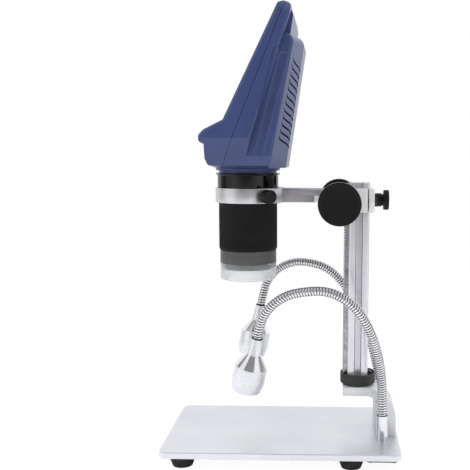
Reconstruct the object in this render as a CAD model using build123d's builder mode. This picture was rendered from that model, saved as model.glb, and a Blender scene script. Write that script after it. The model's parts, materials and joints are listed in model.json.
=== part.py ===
"""Digital microscope with its own display, on a rack-and-pinion stand with two gooseneck lamps.

Millimetres, +Z up, +Y to the back, the user sits on the -Y side.  The origin is the middle of the
base plate's outline, on the surface that the rubber feet stand on.
"""
from build123d import *
from math import asin, atan2, cos, degrees, pi, radians, sin, sqrt, tan
import os

os.makedirs("parts", exist_ok=True)

# ---------------------------------------------------------------- driving dimensions
running_gap = 0.05          # radial clearance of a shaft, a stud or a turning sleeve
slide_gap = 0.15            # clearance of a sliding face
loose_gap = 0.3             # clearance between pieces that pass each other

# base plate and feet
foot_height = 10.0
foot_top_radius = 12.0
foot_bottom_radius = 8.3
foot_x = 46.0
front_foot_y = -82.0
rear_foot_y = 59.0
plate_width = 120.0
plate_length = 200.0
plate_thickness = 5.5
plate_corner_radius = 6.0
plate_edge_radius = 0.8
plate_top = foot_height + plate_thickness

# lamp driver under the rear end of the plate
cover_length = 112.0
cover_front_y = 71.0
cover_rear_y = 97.4
cover_depth = 3.0
cover_wall = 1.2
pocket_depth = 2.3
board_thickness = 1.2

# bracket that carries the rod
bracket_width = 34.0
bracket_rear_y = 98.0
bracket_wall = 18.2
bracket_front_y = 52.0
bracket_arm_thickness = 7.2
bracket_height = 42.9
bracket_outer_radius = 28.0
bracket_inner_radius = 7.0

# rod, rack and collar
rod_y = 64.65
rod_side = 17.5
rod_corner = 1.2
rod_slot = 5.2
rod_slot_depth = 3.4
rod_bore = 4.2
rod_socket_depth = 3.0
rod_top = plate_top + 219.5
rack_width = 8.0
rack_seat_depth = 2.0
rack_stand_out = 4.3        # tooth tips in front of the rod's face
collar_y = 65.0
collar_wall = 1.3
collar_height = 10.2
collar_chamfer = 3.0
collar_bore_gap = 0.02      # between the bore and the rack's front corners
collar_floor = 3.2

# rack and pinion
gear_module = 0.75
pinion_teeth = 13
pressure_angle = 20.0
tooth_backlash = 0.2
pinion_width = 8.0

# carriage on the rod
carriage_z = plate_top + 204.55
block_height = 20.1
block_width = 34.0
block_front_y = 38.0
block_rear_y = 71.2
guide_pad = 1.5
clamp_plate_front = 72.2
clamp_plate_thickness = 4.8
shaft_z = plate_top + 203.0
shaft_diameter = 6.0
bush_diameter = 8.0
knob_diameter = 35.5
knob_thickness = 12.0
knob_outer_x = 43.0
knob_hub_diameter = 14.0

# lock knob behind the carriage
lock_z = plate_top + 204.4
lock_stud_diameter = 6.0
lock_neck_diameter = 11.5
lock_neck_length = 7.9
lock_head_diameter = 17.0
lock_head_length = 4.6

# arm and clamp ring
scope_y = -31.0
ring_bottom = plate_top + 202.0
ring_height = 12.3
ring_radius = 27.8
arm_width = 18.0
arm_height = 11.6
arm_front_y = -1.0
arm_lap = 12.0
arm_edge = 1.2
flat_angle = 34.0            # direction of the ring's flats, from +X towards +Y
flat_radius = 28.5
flat_half = 8.0              # from the thumbscrew to the flat's front edge
thumb_diameter = 11.4
thumb_length = 8.6
thumb_neck_diameter = 7.0
thumb_neck_length = 2.6
thumb_stud_diameter = 5.0

# optical column, from the top down
barrel_radius = 21.5
barrel_wall = 2.0
collar_body_radius = 25.0
shoulder_radius = 26.05
shoulder_height = 11.0
flange_radius = 27.4
flange_height = 1.5
neck_radius = 24.8
neck_height = 2.2
disc_radius = 27.5
disc_height = 2.8
sleeve_radius = 25.0
sleeve_bottom = plate_top + 161.3
lower_ring_radius = 24.2
lower_ring_height = 11.2
hood_radius = 24.1
hood_wall = 1.5
hood_height = 14.2
hood_overlap = 5.0
nose_radius = 7.0
led_edge_gap = 5.0          # from the middle of a light to the light board's rim

# display head
head_half_width = 59.0
head_wall = 2.2
seam_groove_width = 0.5
seam_groove_depth = 0.6
head_bottom = ring_bottom + ring_height + shoulder_height + flange_height + neck_height + disc_height
head_front_top = (-1.8, 373.9)      # (y, z) at the top of the slanted front
head_front_foot = (-44.6, 285.3)    # (y, z) where the front meets the lip
seam_point = (-16.2, 323.7)
seam_slope = 0.40                   # run in y for each unit of z
ridge_half_width = 53.5
spine_half_width = 22.0
spine_top = 352.4
spine_edge_radius = 7.0
side_edge_radius = 3.0
top_corner_radius = 13.0            # of the screen housing, seen from the front
ridge_edge_radius = 3.0
belly_half_width = 46.0
hem_rise = 2.1                      # how far the lower side edges are lifted
hem_run = 8.6
hem_rear_y = -9.5
groove_radius = 9.0
groove_centre_x = 61.5
vent_count = 12
vent_pitch = 5.55
vent_width = 1.5
vent_top = 334.0                    # height of the topmost vent's outer end
lcd_width = 105.5
lcd_height = 67.2
lcd_thickness = 3.0
lcd_centre = 11.5                   # up the front from its middle
window_width = 110.0
window_height = 67.0
window_thickness = 1.2
key_count = 5
key_pitch = 16.0
key_row = -36.5                     # down the front from its middle
key_radius = 4.0
key_stand_out = 1.2
key_flange = 1.0
key_travel = 0.8
port_wall_y = -59.6
port_plate_width = 66.0
port_plate_thickness = 1.6
port_plate_bottom = 255.4
port_plate_top = 265.6
power_key_x = 28.0
power_key_z = 262.1
power_key_width = 6.4
power_key_height = 3.6
power_key_stand_out = 2.4
power_key_travel = 1.0
case_screw_places = [(-48.9, 300.0), (48.9, 300.0), (-38.0, 256.5), (38.0, 256.5)]
case_screw_thread = 2.5
case_screw_head = 4.4
plug_depth = 4.0                    # of the plugs over the case screws

# gooseneck lamps
hose_radius = 4.0
dish_gap = 0.25
ferrule_x = 24.5
ferrule_y = 85.6
ferrule_height = 21.5
ferrule_foot_radius = 5.45
ferrule_top_radius = 4.7
lamp_length = 48.0
lamp_radius = 13.6

pieces = {}


# ---------------------------------------------------------------- fasteners
def cap_screw(thread, length, head_diameter, head_height):
    """A socket screw: the head's seat is at Z = 0 and the shank runs down."""
    with BuildPart() as screw:
        with BuildSketch():
            Circle(head_diameter / 2)
        extrude(amount=head_height)
        with BuildSketch():
            Circle(thread / 2)
        extrude(amount=-length)
        with BuildSketch(Plane.XY.offset(head_height)):
            RegularPolygon(thread * 0.45, 6)
        extrude(amount=-head_height * 0.6, mode=Mode.SUBTRACT)
    return screw.part


def countersunk_screw(thread, length):
    """A countersunk screw: the flat of the head is at Z = 0 and the shank runs down."""
    with BuildPart() as screw:
        with BuildSketch(Plane.XZ):
            with BuildLine():
                Polyline(
                    (0, 0),
                    (thread, 0),
                    (thread, -0.3),
                    (thread / 2, -0.3 - thread / 2),
                    (thread / 2, -length),
                    (0, -length),
                    close=True,
                )
            make_face()
        revolve(axis=Axis.Z)
        with BuildSketch():
            RegularPolygon(thread * 0.4, 6)
        extrude(amount=-thread * 0.5, mode=Mode.SUBTRACT)
    return screw.part


m3_screw = countersunk_screw(3.0, 8.0)
short_m3_screw = countersunk_screw(3.0, 6.0)
sink_radius = 3.4
sink_depth = 1.95

# ---------------------------------------------------------------- stand
foot_places = [
    (sx * foot_x, y)
    for sx in (-1, 1)
    for y in (front_foot_y, rear_foot_y)
]
cover_middle_y = (cover_front_y + cover_rear_y) / 2
cover_screw_places = [
    (sx * (cover_length / 2 - 4.0), cover_middle_y + sy * 9.5)
    for sx in (-1, 1)
    for sy in (-1, 1)
]
pocket_length = cover_length - 18.0
pocket_width = cover_rear_y - cover_front_y - 5.0
bracket_middle_y = bracket_rear_y - bracket_wall / 2
bracket_screw_places = [(-9.0, bracket_middle_y), (9.0, bracket_middle_y)]
ferrule_places = [(-ferrule_x, ferrule_y), (ferrule_x, ferrule_y)]
ferrule_stem_radius = 3.0

with BuildPart() as base_plate:
    with BuildSketch(Plane.XY.offset(foot_height)):
        RectangleRounded(plate_width, plate_length, plate_corner_radius)
    extrude(amount=plate_thickness)
    fillet(base_plate.faces().sort_by(Axis.Z)[-1].edges(), plate_edge_radius)
    fillet(base_plate.faces().sort_by(Axis.Z)[0].edges(), plate_edge_radius / 2)
    with BuildSketch(Plane.XY.offset(foot_height)):
        with Locations((0, cover_middle_y)):
            RectangleRounded(pocket_length, pocket_width, 3)
    extrude(amount=pocket_depth, mode=Mode.SUBTRACT)
    with BuildSketch(Plane.XY.offset(foot_height)):
        with Locations(*foot_places, *cover_screw_places):
            Circle(1.5)
    extrude(amount=4.0, mode=Mode.SUBTRACT)
    with BuildSketch(Plane.XY.offset(foot_height)):
        with Locations(*bracket_screw_places):
            Circle(2.0)
        with Locations(*ferrule_places):
            Circle(ferrule_stem_radius)
    extrude(amount=plate_thickness, mode=Mode.SUBTRACT)
pieces["base_plate"] = base_plate

foot_screw_z = 5.5
with BuildPart() as rubber_feet:
    with Locations(*[(x, y, 0) for x, y in foot_places]):
        Cone(foot_bottom_radius, foot_top_radius, foot_height, align=(Align.CENTER, Align.CENTER, Align.MIN))
    with Locations(*[(x, y, 0) for x, y in foot_places]):
        Cylinder(1.6, foot_height, align=(Align.CENTER, Align.CENTER, Align.MIN), mode=Mode.SUBTRACT)
        Cylinder(3.6, foot_screw_z, align=(Align.CENTER, Align.CENTER, Align.MIN), mode=Mode.SUBTRACT)
    with Locations(*[(x, y, foot_screw_z) for x, y in foot_places]):
        Cone(sink_radius, 1.6, sink_depth, align=(Align.CENTER, Align.CENTER, Align.MIN), mode=Mode.SUBTRACT)
pieces["rubber_feet"] = rubber_feet

with BuildPart() as base_screws:
    for x, y in foot_places:
        with Locations(Location((x, y, foot_screw_z), (180, 0, 0))):
            add(m3_screw)
    for x, y in cover_screw_places:
        with Locations(Location((x, y, foot_height - cover_depth), (180, 0, 0))):
            add(short_m3_screw)
pieces["base_screws"] = base_screws

with BuildPart() as driver_cover:
    with BuildSketch(Plane.XY.offset(foot_height - cover_depth)):
        with Locations((0, cover_middle_y)):
            RectangleRounded(cover_length, cover_rear_y - cover_front_y, 3)
    extrude(amount=cover_depth)
    fillet(driver_cover.faces().sort_by(Axis.Z)[0].edges(), 2.2)
    with BuildSketch(Plane.XY.offset(foot_height - cover_depth + cover_wall)):
        with Locations((0, cover_middle_y)):
            RectangleRounded(pocket_length, pocket_width, 3)
    extrude(amount=cover_depth, mode=Mode.SUBTRACT)
    with BuildSketch(Plane.XY.offset(foot_height - cover_depth)):
        with Locations(*cover_screw_places):
            Circle(1.55)
    extrude(amount=cover_depth, mode=Mode.SUBTRACT)
    with Locations(*[(x, y, foot_height - cover_depth) for x, y in cover_screw_places]):
        Cone(sink_radius, 1.55, sink_depth, align=(Align.CENTER, Align.CENTER, Align.MIN), mode=Mode.SUBTRACT)
pieces["driver_cover"] = driver_cover

with BuildPart() as driver_board:
    with BuildSketch(Plane.XY.offset(foot_height - cover_depth + cover_wall)):
        with Locations((0, cover_middle_y)):
            Rectangle(pocket_length - 12, pocket_width - 5)
    extrude(amount=board_thickness)
    with BuildSketch(Plane.XY.offset(foot_height - cover_depth + cover_wall + board_thickness)):
        with Locations((-36, cover_middle_y), (36, cover_middle_y)):
            Rectangle(8, 6)
        with Locations((0, cover_middle_y)):
            Rectangle(6, 5)
    extrude(amount=1.4)
pieces["driver_board"] = driver_board

with BuildPart() as rod_bracket:
    with BuildSketch(Plane.YZ):
        with BuildLine():
            rear = bracket_rear_y
            top = plate_top + bracket_height
            under = top - bracket_arm_thickness
            inner_y = bracket_rear_y - bracket_wall
            FilletPolyline(
                (inner_y, plate_top),
                (inner_y, under),
                (bracket_front_y, under),
                radius=bracket_inner_radius,
            )
            Line((bracket_front_y, under), (bracket_front_y, top))
            FilletPolyline(
                (bracket_front_y, top),
                (rear, top),
                (rear, plate_top),
                radius=bracket_outer_radius,
            )
            Line((rear, plate_top), (inner_y, plate_top))
        make_face()
    extrude(amount=bracket_width / 2, both=True)
    fillet(rod_bracket.edges().filter_by(Axis.Z).group_by(Axis.Y)[0], 2.0)
    with BuildSketch(Plane.XY.offset(top - rod_socket_depth)):
        with Locations((0, rod_y)):
            Rectangle(rod_side + 2 * running_gap, rod_side + 2 * running_gap)
    extrude(amount=rod_socket_depth, mode=Mode.SUBTRACT)
    with BuildSketch(Plane.XY.offset(under)):
        with Locations((0, rod_y)):
            Circle(rod_bore / 2 + 0.4)
    extrude(amount=bracket_arm_thickness, mode=Mode.SUBTRACT)
    with BuildSketch(Plane.XY.offset(plate_top)):
        with Locations(*bracket_screw_places):
            Circle(2.0)
    extrude(amount=11.0, mode=Mode.SUBTRACT)
pieces["rod_bracket"] = rod_bracket

bracket_screw_seat = foot_height + pocket_depth
m4_screw = cap_screw(4.0, 12.0, 7.0, 2.2)
with BuildPart() as bracket_screws:
    for x, y in bracket_screw_places:
        with Locations(Location((x, y, bracket_screw_seat), (180, 0, 0))):
            add(m4_screw)
    with Locations(Location((0, rod_y, under), (180, 0, 0))):
        add(cap_screw(rod_bore, 16.0, 8.0, 3.2))
pieces["bracket_screws"] = bracket_screws

rod_bottom = plate_top + bracket_height - rod_socket_depth
with BuildPart() as rod:
    with BuildSketch(Plane.XY.offset(rod_bottom)) as rod_section:
        with Locations((0, rod_y)):
            Rectangle(rod_side, rod_side)
        chamfer(rod_section.vertices(), rod_corner)
        with Locations((0, rod_y)):
            Circle(rod_bore / 2, mode=Mode.SUBTRACT)
        half = rod_side / 2
        with Locations((half, rod_y), (-half, rod_y)):
            Rectangle(2 * rod_slot_depth, rod_slot, mode=Mode.SUBTRACT)
        with Locations((0, rod_y + half)):
            Rectangle(rod_slot, 2 * rod_slot_depth, mode=Mode.SUBTRACT)
        with Locations((0, rod_y - half)):
            Rectangle(rack_width, 2 * rack_seat_depth, mode=Mode.SUBTRACT)
    extrude(amount=rod_top - rod_bottom)
pieces["rod"] = rod

collar_bottom = plate_top + bracket_height
collar_bore_radius = collar_bore_gap + sqrt(
    (collar_y - rod_y + rod_side / 2 + rack_stand_out) ** 2 + (rack_width / 2) ** 2
)
collar_radius = collar_bore_radius + collar_wall
with BuildPart() as rod_collar:
    with BuildSketch(Plane.XY.offset(collar_bottom)):
        with Locations((0, collar_y)):
            Circle(collar_radius)
    extrude(amount=collar_height)
    chamfer(rod_collar.faces().sort_by(Axis.Z)[0].edges(), collar_chamfer * 0.7)
    with BuildSketch(Plane.XY.offset(collar_bottom + collar_floor)):
        with Locations((0, collar_y)):
            Circle(collar_bore_radius)
    extrude(amount=collar_height, mode=Mode.SUBTRACT)
    with BuildSketch(Plane.XY.offset(collar_bottom)):
        with Locations((0, rod_y)):
            Rectangle(rod_side + 2 * running_gap, rod_side + 2 * running_gap)
    extrude(amount=collar_floor, mode=Mode.SUBTRACT)
pieces["rod_collar"] = rod_collar

wedge_y = rod_y + rod_side / 2
with BuildPart() as collar_wedge:
    with BuildSketch(Plane.YZ):
        with BuildLine():
            wedge_foot = collar_bottom + collar_floor
            wedge_top = collar_bottom + collar_height + 2.2
            Polyline(
                (wedge_y + 0.1, wedge_foot),
                (wedge_y + 4.4, wedge_foot),
                (wedge_y + 4.4, wedge_top - 2.4),
                (wedge_y + 0.1, wedge_top),
                close=True,
            )
        make_face()
    extrude(amount=3.4, both=True)
pieces["collar_wedge"] = collar_wedge

# ---------------------------------------------------------------- rack and pinion
rod_front_y = rod_y - rod_side / 2
rack_tip_y = rod_front_y - rack_stand_out
pitch_line_y = rack_tip_y + gear_module
tooth_pitch = pi * gear_module
pitch_radius = gear_module * pinion_teeth / 2
shaft_y = pitch_line_y - pitch_radius
rack_root_y = pitch_line_y + 1.25 * gear_module
rack_bottom = collar_bottom + collar_floor + 0.2
rack_top = rod_top - 1.0
flank_run = tan(radians(pressure_angle))
half_tooth = tooth_pitch / 4 - tooth_backlash / 4


def rack_outline():
    """Points of the rack's side view, with a tooth space level with the pinion's shaft."""
    points = [(rod_front_y + rack_seat_depth, rack_bottom), (rack_root_y, rack_bottom)]
    first = int((rack_bottom - shaft_z) / tooth_pitch) - 1
    last = int((rack_top - shaft_z) / tooth_pitch) + 1
    tip_half = half_tooth - gear_module * flank_run
    root_half = half_tooth + 1.25 * gear_module * flank_run
    for number in range(first, last):
        middle = shaft_z + (number + 0.5) * tooth_pitch
        if middle - root_half < rack_bottom + 0.1 or middle + root_half > rack_top - 0.1:
            continue
        points.append((rack_root_y, middle - root_half))
        points.append((rack_tip_y, middle - tip_half))
        points.append((rack_tip_y, middle + tip_half))
        points.append((rack_root_y, middle + root_half))
    points.append((rack_root_y, rack_top))
    points.append((rod_front_y + rack_seat_depth, rack_top))
    return points


with BuildPart() as rack:
    with BuildSketch(Plane.YZ):
        with BuildLine():
            Polyline(*rack_outline(), close=True)
        make_face()
    extrude(amount=rack_width / 2 - 0.02, both=True)
pieces["rack"] = rack


def pinion_outline():
    """Points of the pinion's end view (y, z): involute flanks, one tooth along +Y."""
    base_radius = pitch_radius * cos(radians(pressure_angle))
    tip_radius = pitch_radius + gear_module
    root_radius = pitch_radius - 1.25 * gear_module
    involute_at_pitch = flank_run - radians(pressure_angle)
    half_angle = (pi / 2 - tooth_backlash / 2 / gear_module) / pinion_teeth + involute_at_pitch
    flank = [(root_radius, half_angle)]
    for step in range(5):
        radius = base_radius + (tip_radius - base_radius) * step / 4
        roll = sqrt((radius / base_radius) ** 2 - 1)
        flank.append((radius, half_angle - (roll - atan2(roll, 1))))
    points = []
    for tooth in range(pinion_teeth):
        turn = 2 * pi * tooth / pinion_teeth
        points += [(r * cos(turn - a), r * sin(turn - a)) for r, a in flank]
        points += [(r * cos(turn + a), r * sin(turn + a)) for r, a in reversed(flank)]
    return points


with BuildPart() as focus_pinion:
    with BuildSketch(Plane.YZ):
        with Locations((shaft_y, shaft_z)):
            with BuildLine():
                Polyline(*[(shaft_y + y, shaft_z + z) for y, z in pinion_outline()], close=True)
            make_face()
    extrude(amount=pinion_width / 2, both=True)
    with Locations(Location((0, shaft_y, shaft_z), (0, 90, 0))):
        Cylinder(shaft_diameter / 2, pinion_width, mode=Mode.SUBTRACT)
pieces["focus_pinion"] = focus_pinion

knob_inner_x = knob_outer_x - knob_thickness
shaft_end_x = knob_outer_x - 5.0
with BuildPart() as focus_shaft:
    with BuildSketch(Plane.YZ.offset(-shaft_end_x)):
        with Locations((shaft_y, shaft_z)):
            Circle(shaft_diameter / 2)
    extrude(amount=2 * shaft_end_x)
pieces["focus_shaft"] = focus_shaft

hub_start_x = block_width / 2 + loose_gap


def focus_knob(side):
    """One focusing knob with its hub, on the side given as -1 or 1."""
    with BuildPart() as knob:
        with BuildSketch(Plane.YZ.offset(side * knob_inner_x)):
            with Locations((shaft_y, shaft_z)):
                Circle(knob_diameter / 2)
        extrude(amount=side * knob_thickness)
        fillet(knob.edges().filter_by(GeomType.CIRCLE), 1.0)
        with BuildSketch(Plane.YZ.offset(side * hub_start_x)):
            with Locations((shaft_y, shaft_z)):
                Circle(knob_hub_diameter / 2)
        extrude(amount=side * (knob_inner_x - hub_start_x))
        with BuildSketch(Plane.YZ.offset(side * hub_start_x)):
            with Locations((shaft_y, shaft_z)):
                Circle(shaft_diameter / 2)
        extrude(amount=side * (shaft_end_x - hub_start_x), mode=Mode.SUBTRACT)
    return knob


pieces["focus_knob_left"] = focus_knob(-1)
pieces["focus_knob_right"] = focus_knob(1)

# ---------------------------------------------------------------- carriage
block_bottom = carriage_z - block_height / 2
channel_half = rod_side / 2 + guide_pad
rack_slot_half = rack_width / 2 + loose_gap
chamber_half = pinion_width / 2 + loose_gap
chamber_radius = pitch_radius + gear_module + loose_gap
arm_bottom = ring_bottom + (ring_height - arm_height) / 2
arm_middle = arm_bottom + arm_height / 2
lap_front_y = block_front_y - arm_lap
lap_screw_ys = [block_front_y - 3.5, block_front_y - 8.5]

with BuildPart() as carriage_block:
    with BuildSketch(Plane.XY.offset(block_bottom)):
        with Locations((0, (block_front_y + block_rear_y) / 2)):
            Rectangle(block_width, block_rear_y - block_front_y)
    extrude(amount=block_height)
    chamfer(carriage_block.edges().filter_by(Axis.Z).group_by(Axis.Y)[0], 1.0)
    with BuildSketch(Plane.XY.offset(arm_bottom)):
        with Locations((0, block_front_y - arm_lap / 2)):
            Rectangle(arm_width, arm_lap)
    extrude(amount=arm_height / 2)
    with BuildSketch(Plane.XY.offset(block_bottom)):
        channel_front = rod_front_y - slide_gap
        with Locations((0, (channel_front + block_rear_y) / 2)):
            Rectangle(2 * channel_half, block_rear_y - channel_front)
        slot_front = rack_tip_y - loose_gap
        with Locations((0, (slot_front + channel_front) / 2)):
            Rectangle(2 * rack_slot_half, channel_front - slot_front)
    extrude(amount=block_height, mode=Mode.SUBTRACT)
    with BuildSketch(Plane.YZ.offset(-chamber_half)):
        with Locations((shaft_y, shaft_z)):
            Circle(chamber_radius)
    extrude(amount=2 * chamber_half, mode=Mode.SUBTRACT)
    with BuildSketch(Plane.YZ.offset(-block_width / 2)):
        with Locations((shaft_y, shaft_z)):
            Circle(bush_diameter / 2)
    extrude(amount=block_width, mode=Mode.SUBTRACT)
    with BuildSketch(Plane.XY.offset(arm_bottom)):
        with Locations(*[(0, y) for y in lap_screw_ys]):
            Circle(1.5)
    extrude(amount=arm_height / 2, mode=Mode.SUBTRACT)
    with BuildSketch(Plane.XZ.offset(-block_rear_y)):
        with Locations((-13.75, carriage_z), (13.75, carriage_z)):
            Circle(1.5)
    extrude(amount=8.0, mode=Mode.SUBTRACT)
pieces["carriage_block"] = carriage_block

with BuildPart() as guide_pads:
    for side in (-1, 1):
        with BuildSketch(Plane.XY.offset(block_bottom + 1)):
            pad_middle = rod_side / 2 + running_gap + (guide_pad - running_gap) / 2
            with Locations((side * pad_middle, rod_y - 0.5)):
                Rectangle(guide_pad - running_gap, rod_side - 5)
        extrude(amount=block_height - 2)
pieces["guide_pads"] = guide_pads

with BuildPart() as shaft_bushes:
    for side in (-1, 1):
        with BuildSketch(Plane.YZ.offset(side * chamber_half)):
            with Locations((shaft_y, shaft_z)):
                Circle(bush_diameter / 2)
                Circle(shaft_diameter / 2 + running_gap, mode=Mode.SUBTRACT)
        extrude(amount=side * (block_width / 2 - chamber_half))
pieces["shaft_bushes"] = shaft_bushes

clamp_plate_rear = clamp_plate_front + clamp_plate_thickness
rod_rear_y = rod_y + rod_side / 2 + 0.1
with BuildPart() as clamp_plate:
    with BuildSketch(Plane.XY.offset(block_bottom)):
        with Locations((0, (clamp_plate_front + clamp_plate_rear) / 2)):
            Rectangle(block_width, clamp_plate_thickness)
    extrude(amount=block_height)
    chamfer(clamp_plate.faces().sort_by(Axis.Y)[-1].edges(), 0.6)
    with BuildSketch(Plane.XY.offset(block_bottom)):
        with Locations((0, (clamp_plate_front + rod_rear_y) / 2)):
            Rectangle(2 * channel_half, rod_rear_y - clamp_plate_front)
    extrude(amount=block_height, mode=Mode.SUBTRACT)
    with BuildSketch(Plane.XZ.offset(-clamp_plate_rear)):
        with Locations((-13.75, carriage_z), (13.75, carriage_z)):
            Circle(1.55)
        with Locations((0, lock_z)):
            Circle(lock_stud_diameter / 2 + running_gap)
    extrude(amount=clamp_plate_thickness, mode=Mode.SUBTRACT)
pieces["clamp_plate"] = clamp_plate

with BuildPart() as clamp_plate_screws:
    for x in (-13.75, 13.75):
        with Locations(Location((x, clamp_plate_rear, carriage_z), (-90, 0, 0))):
            add(cap_screw(3.0, 12.0, 5.5, 2.0))
pieces["clamp_plate_screws"] = clamp_plate_screws

with BuildPart() as lock_knob:
    lock_start_y = clamp_plate_rear + loose_gap
    with BuildSketch(Plane.XZ.offset(-lock_start_y)):
        with Locations((0, lock_z)):
            Circle(lock_neck_diameter / 2)
    extrude(amount=-lock_neck_length)
    with BuildSketch(Plane.XZ.offset(-lock_start_y - lock_neck_length)):
        with Locations((0, lock_z)):
            Circle(lock_head_diameter / 2)
    extrude(amount=-lock_head_length)
    fillet(lock_knob.faces().sort_by(Axis.Y)[-1].edges(), 0.8)
    lock_tip_y = rod_rear_y + slide_gap
    with BuildSketch(Plane.XZ.offset(-lock_tip_y)):
        with Locations((0, lock_z)):
            Circle(lock_stud_diameter / 2)
    extrude(amount=-(lock_start_y - lock_tip_y))
pieces["lock_knob"] = lock_knob

with BuildPart() as ring_arm:
    with BuildSketch(Plane.XY.offset(arm_bottom)):
        with Locations((0, (arm_front_y + block_front_y) / 2)):
            Rectangle(arm_width, block_front_y - arm_front_y)
    extrude(amount=arm_height)
    chamfer(ring_arm.faces().sort_by(Axis.Z)[-1].edges().filter_by(Axis.Y), arm_edge)
    chamfer(ring_arm.faces().sort_by(Axis.Z)[0].edges().filter_by(Axis.Y), arm_edge / 2)
    with BuildSketch(Plane.XY.offset(arm_bottom)):
        with Locations((0, block_front_y - arm_lap / 2)):
            Rectangle(arm_width, arm_lap)
    extrude(amount=arm_height / 2, mode=Mode.SUBTRACT)
    with BuildSketch(Plane.XY.offset(arm_middle)):
        with Locations(*[(0, y) for y in lap_screw_ys]):
            Circle(1.55)
    extrude(amount=arm_height / 2, mode=Mode.SUBTRACT)
    with Locations(*[(0, y, arm_bottom + arm_height) for y in lap_screw_ys]):
        Cone(1.55, sink_radius, sink_depth, align=(Align.CENTER, Align.CENTER, Align.MAX), mode=Mode.SUBTRACT)
    with BuildSketch(Plane.XZ.offset(-arm_front_y)):
        with Locations((0, arm_middle)):
            Circle(2.0)
    extrude(amount=-11.0, mode=Mode.SUBTRACT)
pieces["ring_arm"] = ring_arm

flat_direction = (cos(radians(flat_angle)), sin(radians(flat_angle)), 0)
ring_middle = ring_bottom + ring_height / 2
thumb_plane = Plane(
    origin=(0, scope_y, ring_middle),
    x_dir=(-sin(radians(flat_angle)), cos(radians(flat_angle)), 0),
    z_dir=flat_direction,
)
ring_bore_radius = collar_body_radius + running_gap
root_screw_seat = -2.9
root_depth = arm_front_y - scope_y
root_half_width = (flat_radius - root_depth * sin(radians(flat_angle))) / cos(radians(flat_angle))
flat_edge_x = flat_radius * cos(radians(flat_angle)) + flat_half * sin(radians(flat_angle))
flat_edge_y = scope_y + flat_radius * sin(radians(flat_angle)) - flat_half * cos(radians(flat_angle))
with BuildPart() as clamp_ring:
    with BuildSketch(Plane.XY.offset(ring_bottom)):
        with Locations((0, scope_y)):
            Circle(ring_radius)
        with BuildLine():
            Polyline(
                (flat_edge_x, flat_edge_y),
                (root_half_width, arm_front_y),
                (-root_half_width, arm_front_y),
                (-flat_edge_x, flat_edge_y),
                close=True,
            )
        make_face()
        with Locations((0, scope_y)):
            Circle(ring_bore_radius, mode=Mode.SUBTRACT)
    extrude(amount=ring_height)
    with BuildSketch(thumb_plane):
        Circle(thumb_stud_diameter / 2 + running_gap)
    extrude(amount=flat_radius + 2, mode=Mode.SUBTRACT)
    with BuildSketch(Plane.XZ.offset(-arm_front_y)):
        with Locations((0, arm_middle)):
            Circle(2.1)
    extrude(amount=12, mode=Mode.SUBTRACT)
    with BuildSketch(Plane.XZ.offset(-root_screw_seat)):
        with Locations((0, arm_middle)):
            Circle(3.6)
    extrude(amount=8, mode=Mode.SUBTRACT)
pieces["clamp_ring"] = clamp_ring

with BuildPart() as arm_screws:
    with Locations(*[(0, y, arm_bottom + arm_height) for y in lap_screw_ys]):
        add(countersunk_screw(3.0, arm_height - 1.0))
    with Locations(Location((0, root_screw_seat, arm_middle), (90, 0, 0))):
        add(cap_screw(4.0, 12.0, 7.0, 3.0))
pieces["arm_screws"] = arm_screws

with BuildPart() as ring_thumbscrew:
    neck_start = flat_radius + loose_gap
    knob_start = neck_start + thumb_neck_length
    stud_tip = collar_body_radius + loose_gap
    with BuildSketch(thumb_plane.offset(knob_start)):
        Circle(thumb_diameter / 2)
    extrude(amount=thumb_length)
    fillet(ring_thumbscrew.edges().filter_by(GeomType.CIRCLE), 0.8)
    with BuildSketch(thumb_plane.offset(neck_start)):
        Circle(thumb_neck_diameter / 2)
    extrude(amount=thumb_neck_length)
    with BuildSketch(thumb_plane.offset(stud_tip)):
        Circle(thumb_stud_diameter / 2)
    extrude(amount=neck_start - stud_tip)
pieces["ring_thumbscrew"] = ring_thumbscrew

# ---------------------------------------------------------------- optical column
ring_top = ring_bottom + ring_height
shoulder_bottom = ring_top + 0.1
shoulder_top = ring_top + shoulder_height
column_top = shoulder_top + flange_height
sleeve_top = ring_bottom - loose_gap
collar_foot = sleeve_top + 0.1
lower_ring_top = sleeve_bottom - 0.2
lower_ring_bottom = lower_ring_top - lower_ring_height
spigot_radius = hood_radius - hood_wall - running_gap
spigot_bottom = lower_ring_bottom - hood_overlap
scope_centre = (0, scope_y)


def disc_stack(steps, bore_radius):
    """A turned piece: (radius, bottom, top) steps on the optical axis with one bore through."""
    with BuildPart() as turned:
        for radius, bottom, top_z in steps:
            with BuildSketch(Plane.XY.offset(bottom)):
                with Locations(scope_centre):
                    Circle(radius)
            extrude(amount=top_z - bottom)
        lowest = min(step[1] for step in steps)
        highest = max(step[2] for step in steps)
        with BuildSketch(Plane.XY.offset(lowest)):
            with Locations(scope_centre):
                Circle(bore_radius)
        extrude(amount=highest - lowest, mode=Mode.SUBTRACT)
    return turned


tube_collar = disc_stack(
    [
        (collar_body_radius, collar_foot, shoulder_bottom),
        (shoulder_radius, shoulder_bottom, shoulder_top),
        (flange_radius, shoulder_top, column_top),
    ],
    barrel_radius,
)
pieces["tube_collar"] = tube_collar

barrel_bottom = lower_ring_bottom + 2.0
lens_tube = disc_stack([(barrel_radius, barrel_bottom, column_top)], barrel_radius - barrel_wall)
pieces["lens_tube"] = lens_tube

focus_sleeve = disc_stack([(sleeve_radius, sleeve_bottom, sleeve_top)], barrel_radius + running_gap)
with BuildPart() as rounded_sleeve:
    add(focus_sleeve.part)
    fillet(rounded_sleeve.faces().sort_by(Axis.Z)[0].edges().sort_by(SortBy.RADIUS)[-1], 1.6)
pieces["focus_sleeve"] = rounded_sleeve

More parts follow.
